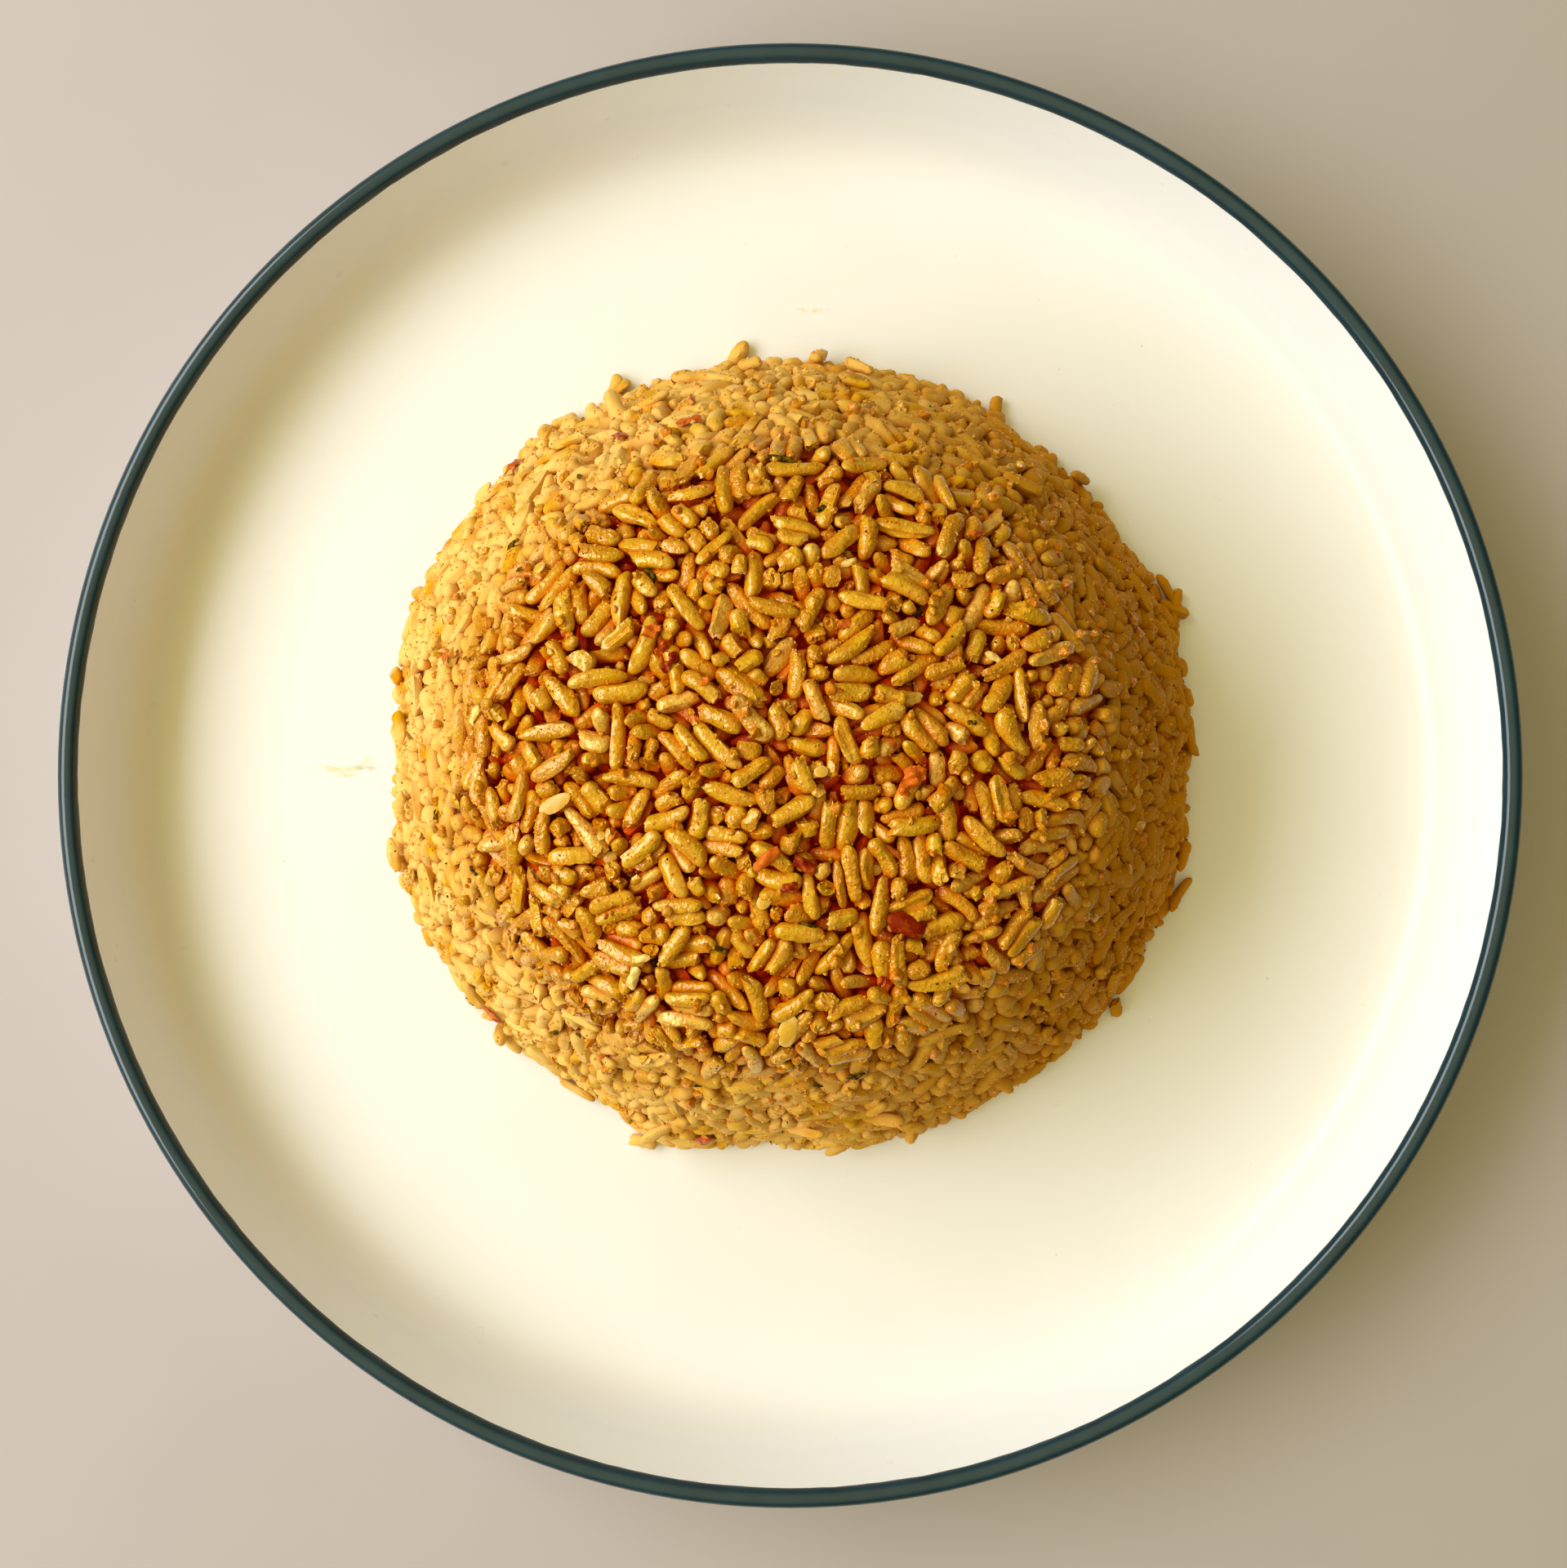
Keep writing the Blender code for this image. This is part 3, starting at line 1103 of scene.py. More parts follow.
@dataclass
class GrainShaper:
    """Turns rods into grains: plump, slightly bent spindles with ridges, furrows and broken ends."""

    mould: Mould
    # How flat a grain is and how rough its surface.
    flatten: float = 0.90
    grain: float = 0.045
    # How deep a vertex is held under the bowl's surface, and the furthest that it is pushed for that.
    sink: float = 0.05
    most: float = 1.2

    def shape(self, grains: Grains, form: GrainForm, rng: np.random.Generator) -> np.ndarray:
        """Vertices of every grain.

        Args:
            grains: The settled grains of one kind.
            form: How finely they are meshed, and whether they are split or broken.
            rng: The source of their differences.

        Returns:
            Vertices of shape (grains, vertices, 3) in the mound's coordinates.
        """
        count = grains.count
        reach = (grains.half + grains.radius)[:, None, None]
        width = grains.radius[:, None, None]
        steps = -np.cos(np.pi * (np.arange(form.rings) + 1) / (form.rings + 1))
        turn = np.linspace(0.0, 2.0 * math.pi, form.sides, endpoint=False)
        u = np.broadcast_to(steps[None, :, None], (count, form.rings, form.sides)).copy()
        around = np.broadcast_to(turn[None, None, :], u.shape)

        def vary(low: float, high: float) -> np.ndarray:
            """A number for each grain, at random between two."""
            return rng.uniform(low, high, (count, 1, 1))

        # A cut end: how ragged it is, how far along the grain it comes, and what lies past it.
        ragged = 0.05 * np.sin(3 * around + vary(0, 6)) + 0.04 * np.sin(5 * around + vary(0, 6))
        cut = np.where(rng.random((count, 1, 1)) < form.cut, vary(0.45, 0.85), 2.0)
        past = np.clip((u - cut) / np.maximum(1.0 - cut, 0.05), 0.0, 1.0)
        held = np.minimum(u, cut)
        # From end to end: how blunt either end is, a closed cut, a waist and a thicker half.
        power = np.where(held < 0.0, vary(3.0, 7.0), vary(2.4, 5.2))
        girth = np.sqrt(np.maximum(1.0 - np.abs(held) ** power, 0.0))
        girth *= 1.0 - np.clip((past - 0.2) / 0.8, 0.0, 1.0) ** 1.2
        girth *= 1.0 + vary(-0.13, 0.13) * np.sin(2.6 * held + vary(0, 6)) + vary(-0.12, 0.12) * held
        # Round about: a softened square with two, three and five ridges and a rough skin.
        square, lay = vary(1.7, 3.6), around + vary(0, 6)
        girth *= (np.abs(np.cos(lay)) ** square + np.abs(np.sin(lay)) ** square) ** (-1.0 / square) / 1.06
        girth *= 1.0 + vary(0.02, 0.09) * np.sin(3 * around + vary(0, 6) + 0.8 * held)
        girth *= 1.0 + 0.05 * np.sin(2 * around + 4.0 * held + vary(0, 6))
        girth *= 1.0 + 0.045 * form.rough * np.sin(5 * around - 1.5 * held + vary(0, 6))
        girth *= 1.0 + rng.normal(0.0, self.grain * form.rough, girth.shape)
        # The nick that the germ left at one end, and the furrow of a split grain between its two lips.
        germ = np.exp(-(((held + 0.86) / 0.17) ** 2))
        germ = germ * np.exp(-((self.turned(around, vary(0, 6)) / 0.8) ** 2))
        girth *= 1.0 - vary(0.0, 0.42) * germ
        away = self.turned(around, vary(0.15, 0.85) * math.pi)
        depth = form.furrow * vary(0.4, 1.15) * np.clip(1.0 - held**2, 0.0, 1.0) ** 0.4
        girth *= 1.0 - depth * (np.exp(-((away / 0.36) ** 2)) - 0.22 * np.exp(-(((away - 0.8) / 0.3) ** 2)))
        # Along the grain, with the cut end slanted and chipped, then across it, bent both ways.
        x = (held + past * 0.06 + ragged * np.sin(math.pi * past)) * reach
        near = np.clip(1.0 - (cut - u) / 0.3, 0.0, 1.0) * (cut < 1.5)
        x = x + near * vary(0.0, 0.9) * width * girth * np.cos(around - vary(0, 6))
        x = x + near * rng.normal(0.0, 0.16, x.shape) * width
        bend = vary(-0.17, 0.17) * reach * (held**2 - 0.33)
        side = girth * np.cos(around) * width * vary(0.96, 1.08) + bend
        lift = girth * np.sin(around) * width * self.flatten * vary(0.84, 1.08)
        lift = lift + vary(-0.05, 0.08) * reach * held**2
        # The end points close the first and the last ring.
        rim = np.stack([x, side, lift], -1)
        first, last = rim[:, :1].mean(2), rim[:, -1:].mean(2)
        first[..., 0] = -reach[:, :, 0]
        last[..., 0] = np.where(cut < 1.5, rim[:, -1:, :, 0].mean(2)[..., None], reach)[:, 0] + 0.06
        local = np.concatenate([first, rim.reshape(count, -1, 3), last], 1)
        return self.stand(grains, local, rng)

    @staticmethod
    def turned(around: np.ndarray, middle: np.ndarray) -> np.ndarray:
        """How far directions round a grain lie from one of them, in radians."""
        return np.abs((around - middle + math.pi) % (2.0 * math.pi) - math.pi)

    def stand(self, grains: Grains, local: np.ndarray, rng: np.random.Generator) -> np.ndarray:
        """Put grains modelled along X on their rods, broad side out, and press them against the bowl.

        Args:
            grains: The rods.
            local: Vertices of each grain about its own middle.
            rng: The source of each grain's roll.

        Returns:
            Vertices in the mound's coordinates.
        """
        middle = grains.middle
        axis = grains.ends[:, 1] - grains.ends[:, 0]
        axis /= np.linalg.norm(axis, axis=1, keepdims=True)
        axis *= np.where(rng.random(grains.count) < 0.5, 1.0, -1.0)[:, None]
        normal = self.mould.measure(middle)[1]
        out = normal - (normal * axis).sum(1, keepdims=True) * axis
        spare = np.cross(axis, rng.normal(size=axis.shape))
        small = np.linalg.norm(out, axis=1, keepdims=True) < 0.25
        out = np.where(small, spare, out)
        out /= np.linalg.norm(out, axis=1, keepdims=True)
        side = np.cross(out, axis)
        roll = rng.normal(0.0, 0.45, grains.count)[:, None]
        out, side = out * np.cos(roll) + side * np.sin(roll), side * np.cos(roll) - out * np.sin(roll)
        points = middle[:, None] + local[..., :1] * axis[:, None]
        points = points + local[..., 1:2] * side[:, None] + local[..., 2:] * out[:, None]
        depth, normal, steep = self.mould.measure(points)
        over = np.clip(self.sink - depth, 0.0, self.most)
        points = points - normal * (over * (0.2 + 0.10 * steep))[..., None]
        points[..., 2] = np.maximum(points[..., 2], 0.05)
        return points


@dataclass(frozen=True)
class Hollows:
    """Tells the gaps between grains from their tops, on a map of the surface unrolled from the crown.

    The map is a square grid of cells, blurred so many times over so many cells each way.
    """

    mould: Mould
    cell: float = 0.8
    reach: int = 2
    passes: int = 3

    def sunk(self, forms: list[np.ndarray]) -> list[np.ndarray]:
        """How far each vertex lies below the mean of the surface round about.

        Args:
            forms: Vertices of each kind of grain, in the mound's coordinates.

        Returns:
            For each kind, the drop in millimetres, below zero for a vertex that stands proud.
        """
        located = [self.mould.locate(form) for form in forms]
        middle = int(self.mould.length * 1.2 / self.cell)
        top = np.full((2 * middle + 1, 2 * middle + 1), np.inf)
        places = []
        for depth, _, azimuth, run in located:
            across = np.rint(run * np.cos(azimuth) / self.cell).astype(int) + middle
            along = np.rint(run * np.sin(azimuth) / self.cell).astype(int) + middle
            places.append((np.clip(across, 0, 2 * middle), np.clip(along, 0, 2 * middle)))
            np.minimum.at(top, places[-1], depth)
        known = np.isfinite(top)
        mean = self.blurred(np.where(known, top, 0.0)) / np.maximum(self.blurred(known.astype(float)), 1e-3)
        return [found[0] - mean[place] for found, place in zip(located, places)]

    def blurred(self, field_map: np.ndarray) -> np.ndarray:
        """A map averaged over its neighbours, a few times over."""
        for _ in range(self.passes):
            for axis in (0, 1):
                shifts = range(-self.reach, self.reach + 1)
                field_map = sum(np.roll(field_map, shift, axis) for shift in shifts) / len(shifts)
        return field_map


@dataclass(frozen=True)
class Contacts:
    """Tells where grains touch those of the heap, for the oil and painted shade within a width of a
    neighbour.
    """

    heap: Grains
    width: float = 0.6

    @cached_property
    def tree(self) -> kdtree.KDTree:
        """The middles of the heap's grains."""
        return search_tree(self.heap.middle)

    def touched(self, grains: Grains, points: np.ndarray) -> np.ndarray:
        """How near each vertex is to another grain.

        Args:
            grains: Grains of one kind.
            points: Their vertices, shape (grains, vertices, 3).

        Returns:
            From 0, clear of the others, to 1, touching one, shape (grains, vertices).
        """
        shares = np.zeros(points.shape[:2])
        heap_along = self.heap.ends[:, 1] - self.heap.ends[:, 0]
        reach = grains.half + grains.radius + float((self.heap.half + self.heap.radius).max())
        for number, (middle, form) in enumerate(zip(grains.middle, points)):
            found = self.tree.find_range(Vector(middle), float(reach[number]))
            near = [other for _, other, apart in found if apart > 0.001]
            if not near:
                continue
            away = form[:, None] - self.heap.ends[near, 0]
            along = heap_along[near]
            share = np.clip((away * along).sum(-1) / (along**2).sum(-1), 0.0, 1.0)
            gap = np.linalg.norm(away - share[..., None] * along, axis=-1) - self.heap.radius[near]
            shares[number] = np.clip(1.0 - gap.min(1) / self.width, 0.0, 1.0)
        return shares


@dataclass(frozen=True)
class GrainTints:
    """Tells the rice finish how oil, starch and painted light and shade colour each vertex."""

    mould: Mould
    # Paste and painted light on the lit left of the flank, which take painted shade away, and the film of
    # starch
    # there: their shares at the middle from left to right, and what they lose from there to the right.
    lit_paste: float = 0.90
    lit_paste_lost: float = 0.80
    film: float = 0.62
    film_lost: float = 0.58
    # How fast the painted shade of the flank grows toward the shaded right, and how much at most.
    right_shade_rise: float = 1.3
    right_shade_most: float = 0.85
    # Where the painted shade of the gaps begins, how far below that it is full, how dark it is then, and how
    # much of it the paste and painted light on the lit left take away.
    gap_top: float = 0.7
    gap_depth: float = 1.8
    gap_dark: float = 0.95
    gap_shade_lit: float = 0.80
    # The oil and painted shade: their share all over, what they gain a millimetre down and where grains
    # touch, the power of that touch, and how much of them the paste and painted light on the lit left take
    # away.
    oil: float = 0.14
    oil_and_shade_deep: float = 0.26
    oil_and_shade_touched: float = 0.75
    oil_and_shade_power: float = 1.3
    oil_and_shade_lit: float = 0.55
    # The share of grains with a milky heart, how milky those are, and how uneven from end to end.
    pale_share: float = 0.12
    pale_least: float = 0.3
    pale_most: float = 0.8
    pale_uneven: float = 0.22

    def values(
        self, kind: GrainKind, grains: Grains, points: np.ndarray, drop: np.ndarray, touched: np.ndarray
    ) -> dict[str, np.ndarray]:
        """What each vertex of the grains of one kind carries.

        Args:
            kind: Which kind they are.
            grains: Their rods.
            points: Their vertices, shape (grains, vertices, 3).
            drop: How far each vertex lies below the surface round about.
            touched: How near each vertex is to another grain, from 0 to 1.

        Returns:
            Numbers from 0 to 1 by grain or by vertex, under the names that the rice finish reads.
        """
        form = FORMS[kind]
        rng = np.random.default_rng(200 + list(GrainKind).index(kind))
        steep = self.mould.measure(points)[2]
        # Across runs from -1 on the lit left, where paste and painted light take shade away, to 1 on the
        # shaded right.
        across = points[..., 0] / self.mould.reach
        lit_pasted = steep * np.clip(self.lit_paste - self.lit_paste_lost * across, 0.0, 1.0)
        # Painted shade down the gaps, growing with the drop below the grains round about.
        gap_shade = np.clip((drop - self.gap_top) / self.gap_depth, 0.0, 1.0)
        # Oil and painted shade, more down the gaps and where grains touch.
        oil = np.clip(self.oil + self.oil_and_shade_deep * drop + self.oil_and_shade_touched * touched**self.oil_and_shade_power, 0.0, 1.0)
        # Starch film, stronger toward the lit left as painted light.
        film = np.clip(self.film - self.film_lost * across, 0.0, 1.0)
        # Painted shade of the flank, growing toward the shaded right.
        right_shade = steep * np.clip(across * self.right_shade_rise, 0.0, 1.0)
        milky = rng.random(grains.count) < self.pale_share
        pale = milky * rng.uniform(self.pale_least, self.pale_most, grains.count)
        fade = rng.normal(0.0, self.pale_uneven, grains.count)
        rings = -np.cos(np.pi * (np.arange(form.rings) + 1) / (form.rings + 1))
        along = np.concatenate([[-1.0], np.repeat(rings, form.sides), [1.0]])
        return {
            "tone": rng.beta(1.3, 1.6, grains.count),
            "pressed": steep,
            "under": oil * (1.0 - self.oil_and_shade_lit * lit_pasted),
            "right_shade": self.right_shade_most * right_shade,
            "spice": rng.random(grains.count),
            "pale": np.clip(pale[:, None] + fade[:, None] * along, 0.0, 1.0),
            "gap_shade": gap_shade * (self.gap_dark - self.gap_shade_lit * lit_pasted),
            "starch": steep * film,
        }


# ---------------------------------------------------------------------------------------------------------
# The mound
# ---------------------------------------------------------------------------------------------------------


@dataclass
class RiceMound:
    """The heap: a core with grain-sized relief, and the grains packed over it."""

    mould: Mould
    origin: np.ndarray
    # How thick the grains lie over the core, and how finely the core is meshed.
    crown_cover: float = 6.0
    flank_cover: float = 3.1
    core_rings: int = 90
    core_sides: int = 240
    # Size and steepness of the core's bumps, and size and height of the crumb on them.
    bump_size: float = 2.9
    bump_steep: float = 1.6
    crumb_size: float = 1.1
    crumb_height: float = 0.35
    # How high the bumps stand on the crown, and what they lose on the flank.
    relief_height: float = 0.9
    relief_lost: float = 0.10
    # How deep a grain has to lie to be a buried one, and how far inside the core it is left out.
    buried_depth: float = 1.7
    hidden_depth: float = 0.4
    # The share of whole grains that are split.
    split_share: float = 0.16
    # How far one end has to stand over the other, in half lengths, for a grain to be end on.
    end_on_rise: float = 1.1
    pieces: list[bpy.types.Object] = field(default_factory=list)

    def build(self) -> list[bpy.types.Object]:
        """Every piece of the heap."""
        self.pieces = [self.core()]
        grains = Packing(self.mould).settle()
        kinds = self.sort(grains)
        kinds[GrainKind.LOOSE] = Strays(self.mould).grains()
        finish = GrainFinish().material("rice_grain")
        shaped = [self.shape(kind, chosen) for kind, chosen in kinds.items()]
        sunk = Hollows(self.mould).sunk(shaped)
        contacts, tints = Contacts(grains), GrainTints(self.mould)
        for (kind, chosen), points, drop in zip(kinds.items(), shaped, sunk):
            values = tints.values(kind, chosen, points, drop, contacts.touched(chosen, points))
            net = FORMS[kind].rings, FORMS[kind].sides
            self.pieces.append(joined_piece(kind.value, points + self.origin, net, finish, values))
        return self.pieces

    def shape(self, kind: GrainKind, grains: Grains) -> np.ndarray:
        """Vertices of all grains of one kind, in the mound's coordinates."""
        rng = np.random.default_rng(100 + list(GrainKind).index(kind))
        return GrainShaper(self.mould).shape(grains, FORMS[kind], rng)

    def core(self) -> bpy.types.Object:
        """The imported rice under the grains, standing for the solid mound."""
        share = (np.arange(self.core_rings) + 1) / self.core_rings
        turn = np.linspace(0.0, 2.0 * math.pi, self.core_sides, endpoint=False)
        shares, turns = np.meshgrid(share, turn, indexing="ij")
        surface = self.mould.surface(shares, turns)
        steep = self.mould.measure(surface)[2]
        relief = np.array([self.relief(point) for point in surface.reshape(-1, 3)]).reshape(shares.shape)
        height = self.relief_height - self.relief_lost * steep
        points = self.mould.surface(shares, turns, self.cover(steep) - relief * height)
        points[-1, :, 2] = 0.0
        points[..., 2] = np.maximum(points[..., 2], 0.0)
        crown = np.array([[0.0, 0.0, self.mould.height - self.crown_cover]])
        foot = np.array([[0.0, 0.0, 0.0]])
        vertices = np.concatenate([crown, points.reshape(-1, 3), foot]) + self.origin
        triangles = ring_triangles(self.core_rings, self.core_sides)[:, ::-1]
        # From 0 on the crown, where the core is painted shade, to 1 on the flank, where it is tan.
        starch = np.concatenate([[0.0], steep.ravel(), [1.0]])
        finish = StarchFinish().material("starch")
        piece = new_piece("rice_core", vertices, triangles, finish, {"starch": starch})
        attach(piece, "root")
        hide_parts("rice_mound")
        return piece

    def relief(self, point: np.ndarray) -> float:
        """Height from 0 to 1 of grain-sized bumps at a point of the surface."""
        place = Vector(point)
        nearest = noise.voronoi(place / self.bump_size)[0][0]
        crumb = self.crumb_height * noise.noise(place / self.crumb_size)
        return max(0.0, 1.0 - nearest * nearest * self.bump_steep) + crumb

    def cover(self, steep: np.ndarray) -> np.ndarray:
        """How thick the grains lie over the core, where steep is 0 on the crown and 1 on the flank."""
        return self.crown_cover + (self.flank_cover - self.crown_cover) * steep

    def sort(self, grains: Grains) -> dict[GrainKind, Grains]:
        """Share the grains out among the kinds, leaving out those that nothing could show."""
        depth, normal, steep = self.mould.measure(grains.ends)
        nearest = depth.min(1) - grains.radius
        steep = steep.mean(1)
        along = grains.ends[:, 1] - grains.ends[:, 0]
        end_on = np.abs((along * normal[:, 0]).sum(1)) > self.end_on_rise * grains.half
        seen = nearest < self.cover(steep) + self.hidden_depth
        crown = steep < 0.5
        buried = nearest > self.buried_depth
        split = grains.whole & (grains.rank < self.split_share)
        masks = {
            GrainKind.CROWN_WHOLE: crown & ~buried & grains.whole & ~split,
            GrainKind.CROWN_SPLIT: ~buried & split,
            GrainKind.CROWN_BROKEN: crown & ~buried & ~grains.whole,
            GrainKind.FLANK_FLAT: ~crown & ~buried & grains.whole & ~split & ~end_on,
            GrainKind.FLANK_UPRIGHT: ~crown & ~buried & grains.whole & ~split & end_on,
            GrainKind.FLANK_BROKEN: ~crown & ~buried & ~grains.whole,
            GrainKind.BURIED: buried,
        }
        return {kind: self.chosen(grains, mask & seen) for kind, mask in masks.items()}

    @staticmethod
    def chosen(grains: Grains, mask: np.ndarray) -> Grains:
        """The grains that a mask picks out."""
        return Grains(grains.ends[mask], grains.radius[mask], grains.whole[mask], grains.rank[mask])


# ---------------------------------------------------------------------------------------------------------
# What is scattered over the rice
# ---------------------------------------------------------------------------------------------------------


@dataclass(frozen=True)
class Seats:
    """Places on the heap: points in millimetres and the directions that face out of it there."""

    points: np.ndarray
    normals: np.ndarray

    @property
    def count(self) -> int:
        """How many places there are."""
        return len(self.points)


@dataclass(frozen=True)
class HeapSurface:
    """The finished surface of the grains, for things to be set on."""

    mould: Mould
    origin: np.ndarray
    pieces: list[bpy.types.Object]
    lift: float = 9.0

    def cast(self, start: Vector, toward: Vector) -> Vector | None:
        """Where a straight line first meets the rice.

        Args:
            start: Where the line begins, in millimetres.
            toward: Its direction.

        Returns:
            The point in millimetres, or None if it meets nothing.
        """
        nearest, found = math.inf, None
        for piece in self.pieces:
            hit, point, _, _ = piece.ray_cast(start * MM, toward)
            if hit and (point - start * MM).length < nearest:
                nearest = (point - start * MM).length
                found = point / MM
        return found

    def under(self, places: list[tuple[float, float]]) -> Seats:
        """Seats straight below places (x, y) over the heap."""
        points = []
        for x, y in places:
            start = Vector((x, y, self.origin[2] + self.mould.height + self.lift))
            points.append(self.cast(start, Vector((0.0, 0.0, -1.0))) or start)
        points = np.array(points)
        return Seats(points, self.mould.measure(points - self.origin)[1])

    def scatter(self, count: int, rng: np.random.Generator, low: float = 1.0, patch: float = 0.0) -> Seats:
        """Seats at random all over the heap.

        Args:
            count: How many lines are cast.
            rng: The source of their places.
            low: How far down the section they reach, from 0 at the crown to 1 at the foot.
            patch: The size of the patches that they gather in, or 0 for none.

        Returns:
            The seats found.
        """
        share = np.sqrt(rng.random(count)) * low
        azimuth = rng.uniform(0.0, 2.0 * math.pi, count)
        places = self.mould.surface(share, azimuth)
        normals = self.mould.measure(places)[1]
        gate = rng.uniform(-0.45, 0.35, count)
        points, facing = [], []
        for place, normal, threshold in zip(places, normals, gate):
            if patch and noise.noise(Vector(place) / patch) < threshold:
                continue
            found = self.cast(Vector(place + normal * self.lift + self.origin), Vector(-normal))
            if found:
                points.append(found)
                facing.append(normal)
        return Seats(np.array(points), np.array(facing))


@dataclass(frozen=True)
class Scattered:
    """Shapes small closed things, all of one kind, and sets them on their seats."""

    rings: int
    sides: int

    @property
    def net(self) -> tuple[int, int]:
        """The rings between the end points and the sides."""
        return self.rings, self.sides

    def ball(self, count: int) -> tuple[np.ndarray, np.ndarray, np.ndarray]:
        """Rings of a unit ball for each of many things.

        Returns:
            The height of each ring's points from -1 to 1, the angle round, and the ring's radius.
        """
        polar = np.pi * (np.arange(self.rings) + 1) / (self.rings + 1)
        turn = np.linspace(0.0, 2.0 * math.pi, self.sides, endpoint=False)
        height = np.broadcast_to(-np.cos(polar)[None, :, None], (count, self.rings, self.sides))
        around = np.broadcast_to(turn[None, None, :], height.shape)
        return height, around, np.broadcast_to(np.sin(polar)[None, :, None], height.shape)

    def lumps(self, sizes: np.ndarray, rough: float, rng: np.random.Generator) -> np.ndarray:
        """Uneven lumps.

        Args:
            sizes: Half sizes along the lump's own axes, shape (n, 3).
            rough: How uneven, as a share of the size.
            rng: The source of their differences.

        Returns:
            Vertices of shape (n, vertices, 3), end points first and last.
        """
        count = len(sizes)
        height, around, reach = self.ball(count)
        vary = rng.uniform(0.0, 6.3, (count, 3, 1, 1))
        uneven = 1.0 + rough * np.sin(2 * around + vary[:, 0] + 2.0 * height)
        uneven = uneven + rough * np.sin(3 * around + vary[:, 1] - 3.0 * height) * reach
        uneven = uneven + rough * np.sin(4.0 * height + vary[:, 2])
        uneven = uneven * (1.0 + rng.normal(0.0, rough * 0.6, height.shape))
        rim = np.stack([reach * np.cos(around), reach * np.sin(around), height], -1) * uneven[..., None]
        return self.closed(rim, np.array([0.0, 0.0, -1.0]), np.array([0.0, 0.0, 1.0])) * sizes[:, None, :]

    def curls(
        self, sizes: np.ndarray, curl: np.ndarray, rough: np.ndarray, rng: np.random.Generator
    ) -> np.ndarray:
        """Curled leaves or skins: a thin sheet along X, rolled about its length.

        Args:
            sizes: Half length, half width and half thickness, shape (n, 3).
            curl: How far each one is rolled up, in radians from its middle to its edge.
            rough: How crumpled, as a share of the width.
            rng: The source of their differences.

        Returns:
            Vertices of shape (n, vertices, 3), end points first and last.
        """
        count = len(sizes)
        height, around, reach = self.ball(count)
        vary = rng.uniform(0.0, 6.3, (count, 4, 1, 1))
        long, wide, thick = (sizes[:, axis, None, None] for axis in range(3))
        ragged = 1.0 + 0.16 * np.sin(5.0 * height + vary[:, 0]) + 0.10 * np.sin(9.0 * height + vary[:, 1])
        across = reach**0.6 * np.cos(around) * ragged
        angle = across * curl[:, None, None]
        radius = wide / curl[:, None, None]
        through = np.sin(around) * thick * reach**0.4
        y = (radius - through) * np.sin(angle)
        z = radius - (radius - through) * np.cos(angle)
        crumple = np.sin(4.0 * height + 2.5 * across + vary[:, 2])
        crumple = crumple + 0.5 * np.sin(6.5 * height - 4.0 * across)
        crumple = rough[:, None, None] * wide * crumple
        x = (height + 0.08 * np.sin(3.0 * across + vary[:, 3])) * long
        bow = 0.22 * long * (height**2 - 0.3)
        rim = np.stack([x, y, z + crumple + bow], -1)
        first, last = rim[:, 0].mean(1), rim[:, -1].mean(1)
        return self.closed(rim, first[:, None, :], last[:, None, :])

    @staticmethod
    def closed(rim: np.ndarray, first: np.ndarray, last: np.ndarray) -> np.ndarray:
        """Rings with the two end points before and after them."""
        count = len(rim)
        ends = [np.broadcast_to(point, (count, 1, 3)) for point in (first, last)]
        return np.concatenate([ends[0], rim.reshape(count, -1, 3), ends[1]], 1)

    @staticmethod
    def settle(
        forms: np.ndarray, seats: Seats, spin: np.ndarray, lean: np.ndarray, lift: np.ndarray
    ) -> np.ndarray:
        """Stand things modelled flat about Z on their seats.

        Args:
            forms: Vertices of each thing about its own middle.
            seats: Where they go.
            spin: Each one's angle about its seat's normal, in radians from level.
            lean: Each one's tilt about its own length, in radians.
            lift: How far each one's middle stands off its seat.

        Returns:
            Vertices where they belong, shape (n, vertices, 3).
        """
        up = seats.normals
        level = np.cross(np.array([0.0, 1.0, 0.0]), up)
        level /= np.linalg.norm(level, axis=1, keepdims=True)
        second = np.cross(up, level)
        along = level * np.cos(spin)[:, None] + second * np.sin(spin)[:, None]
        side = np.cross(up, along)
        tilted = side * np.cos(lean)[:, None] + up * np.sin(lean)[:, None]
        raised = up * np.cos(lean)[:, None] - side * np.sin(lean)[:, None]
        middle = seats.points + up * lift[:, None]
        placed = middle[:, None] + forms[..., :1] * along[:, None]
        return placed + forms[..., 1:2] * tilted[:, None] + forms[..., 2:] * raised[:, None]


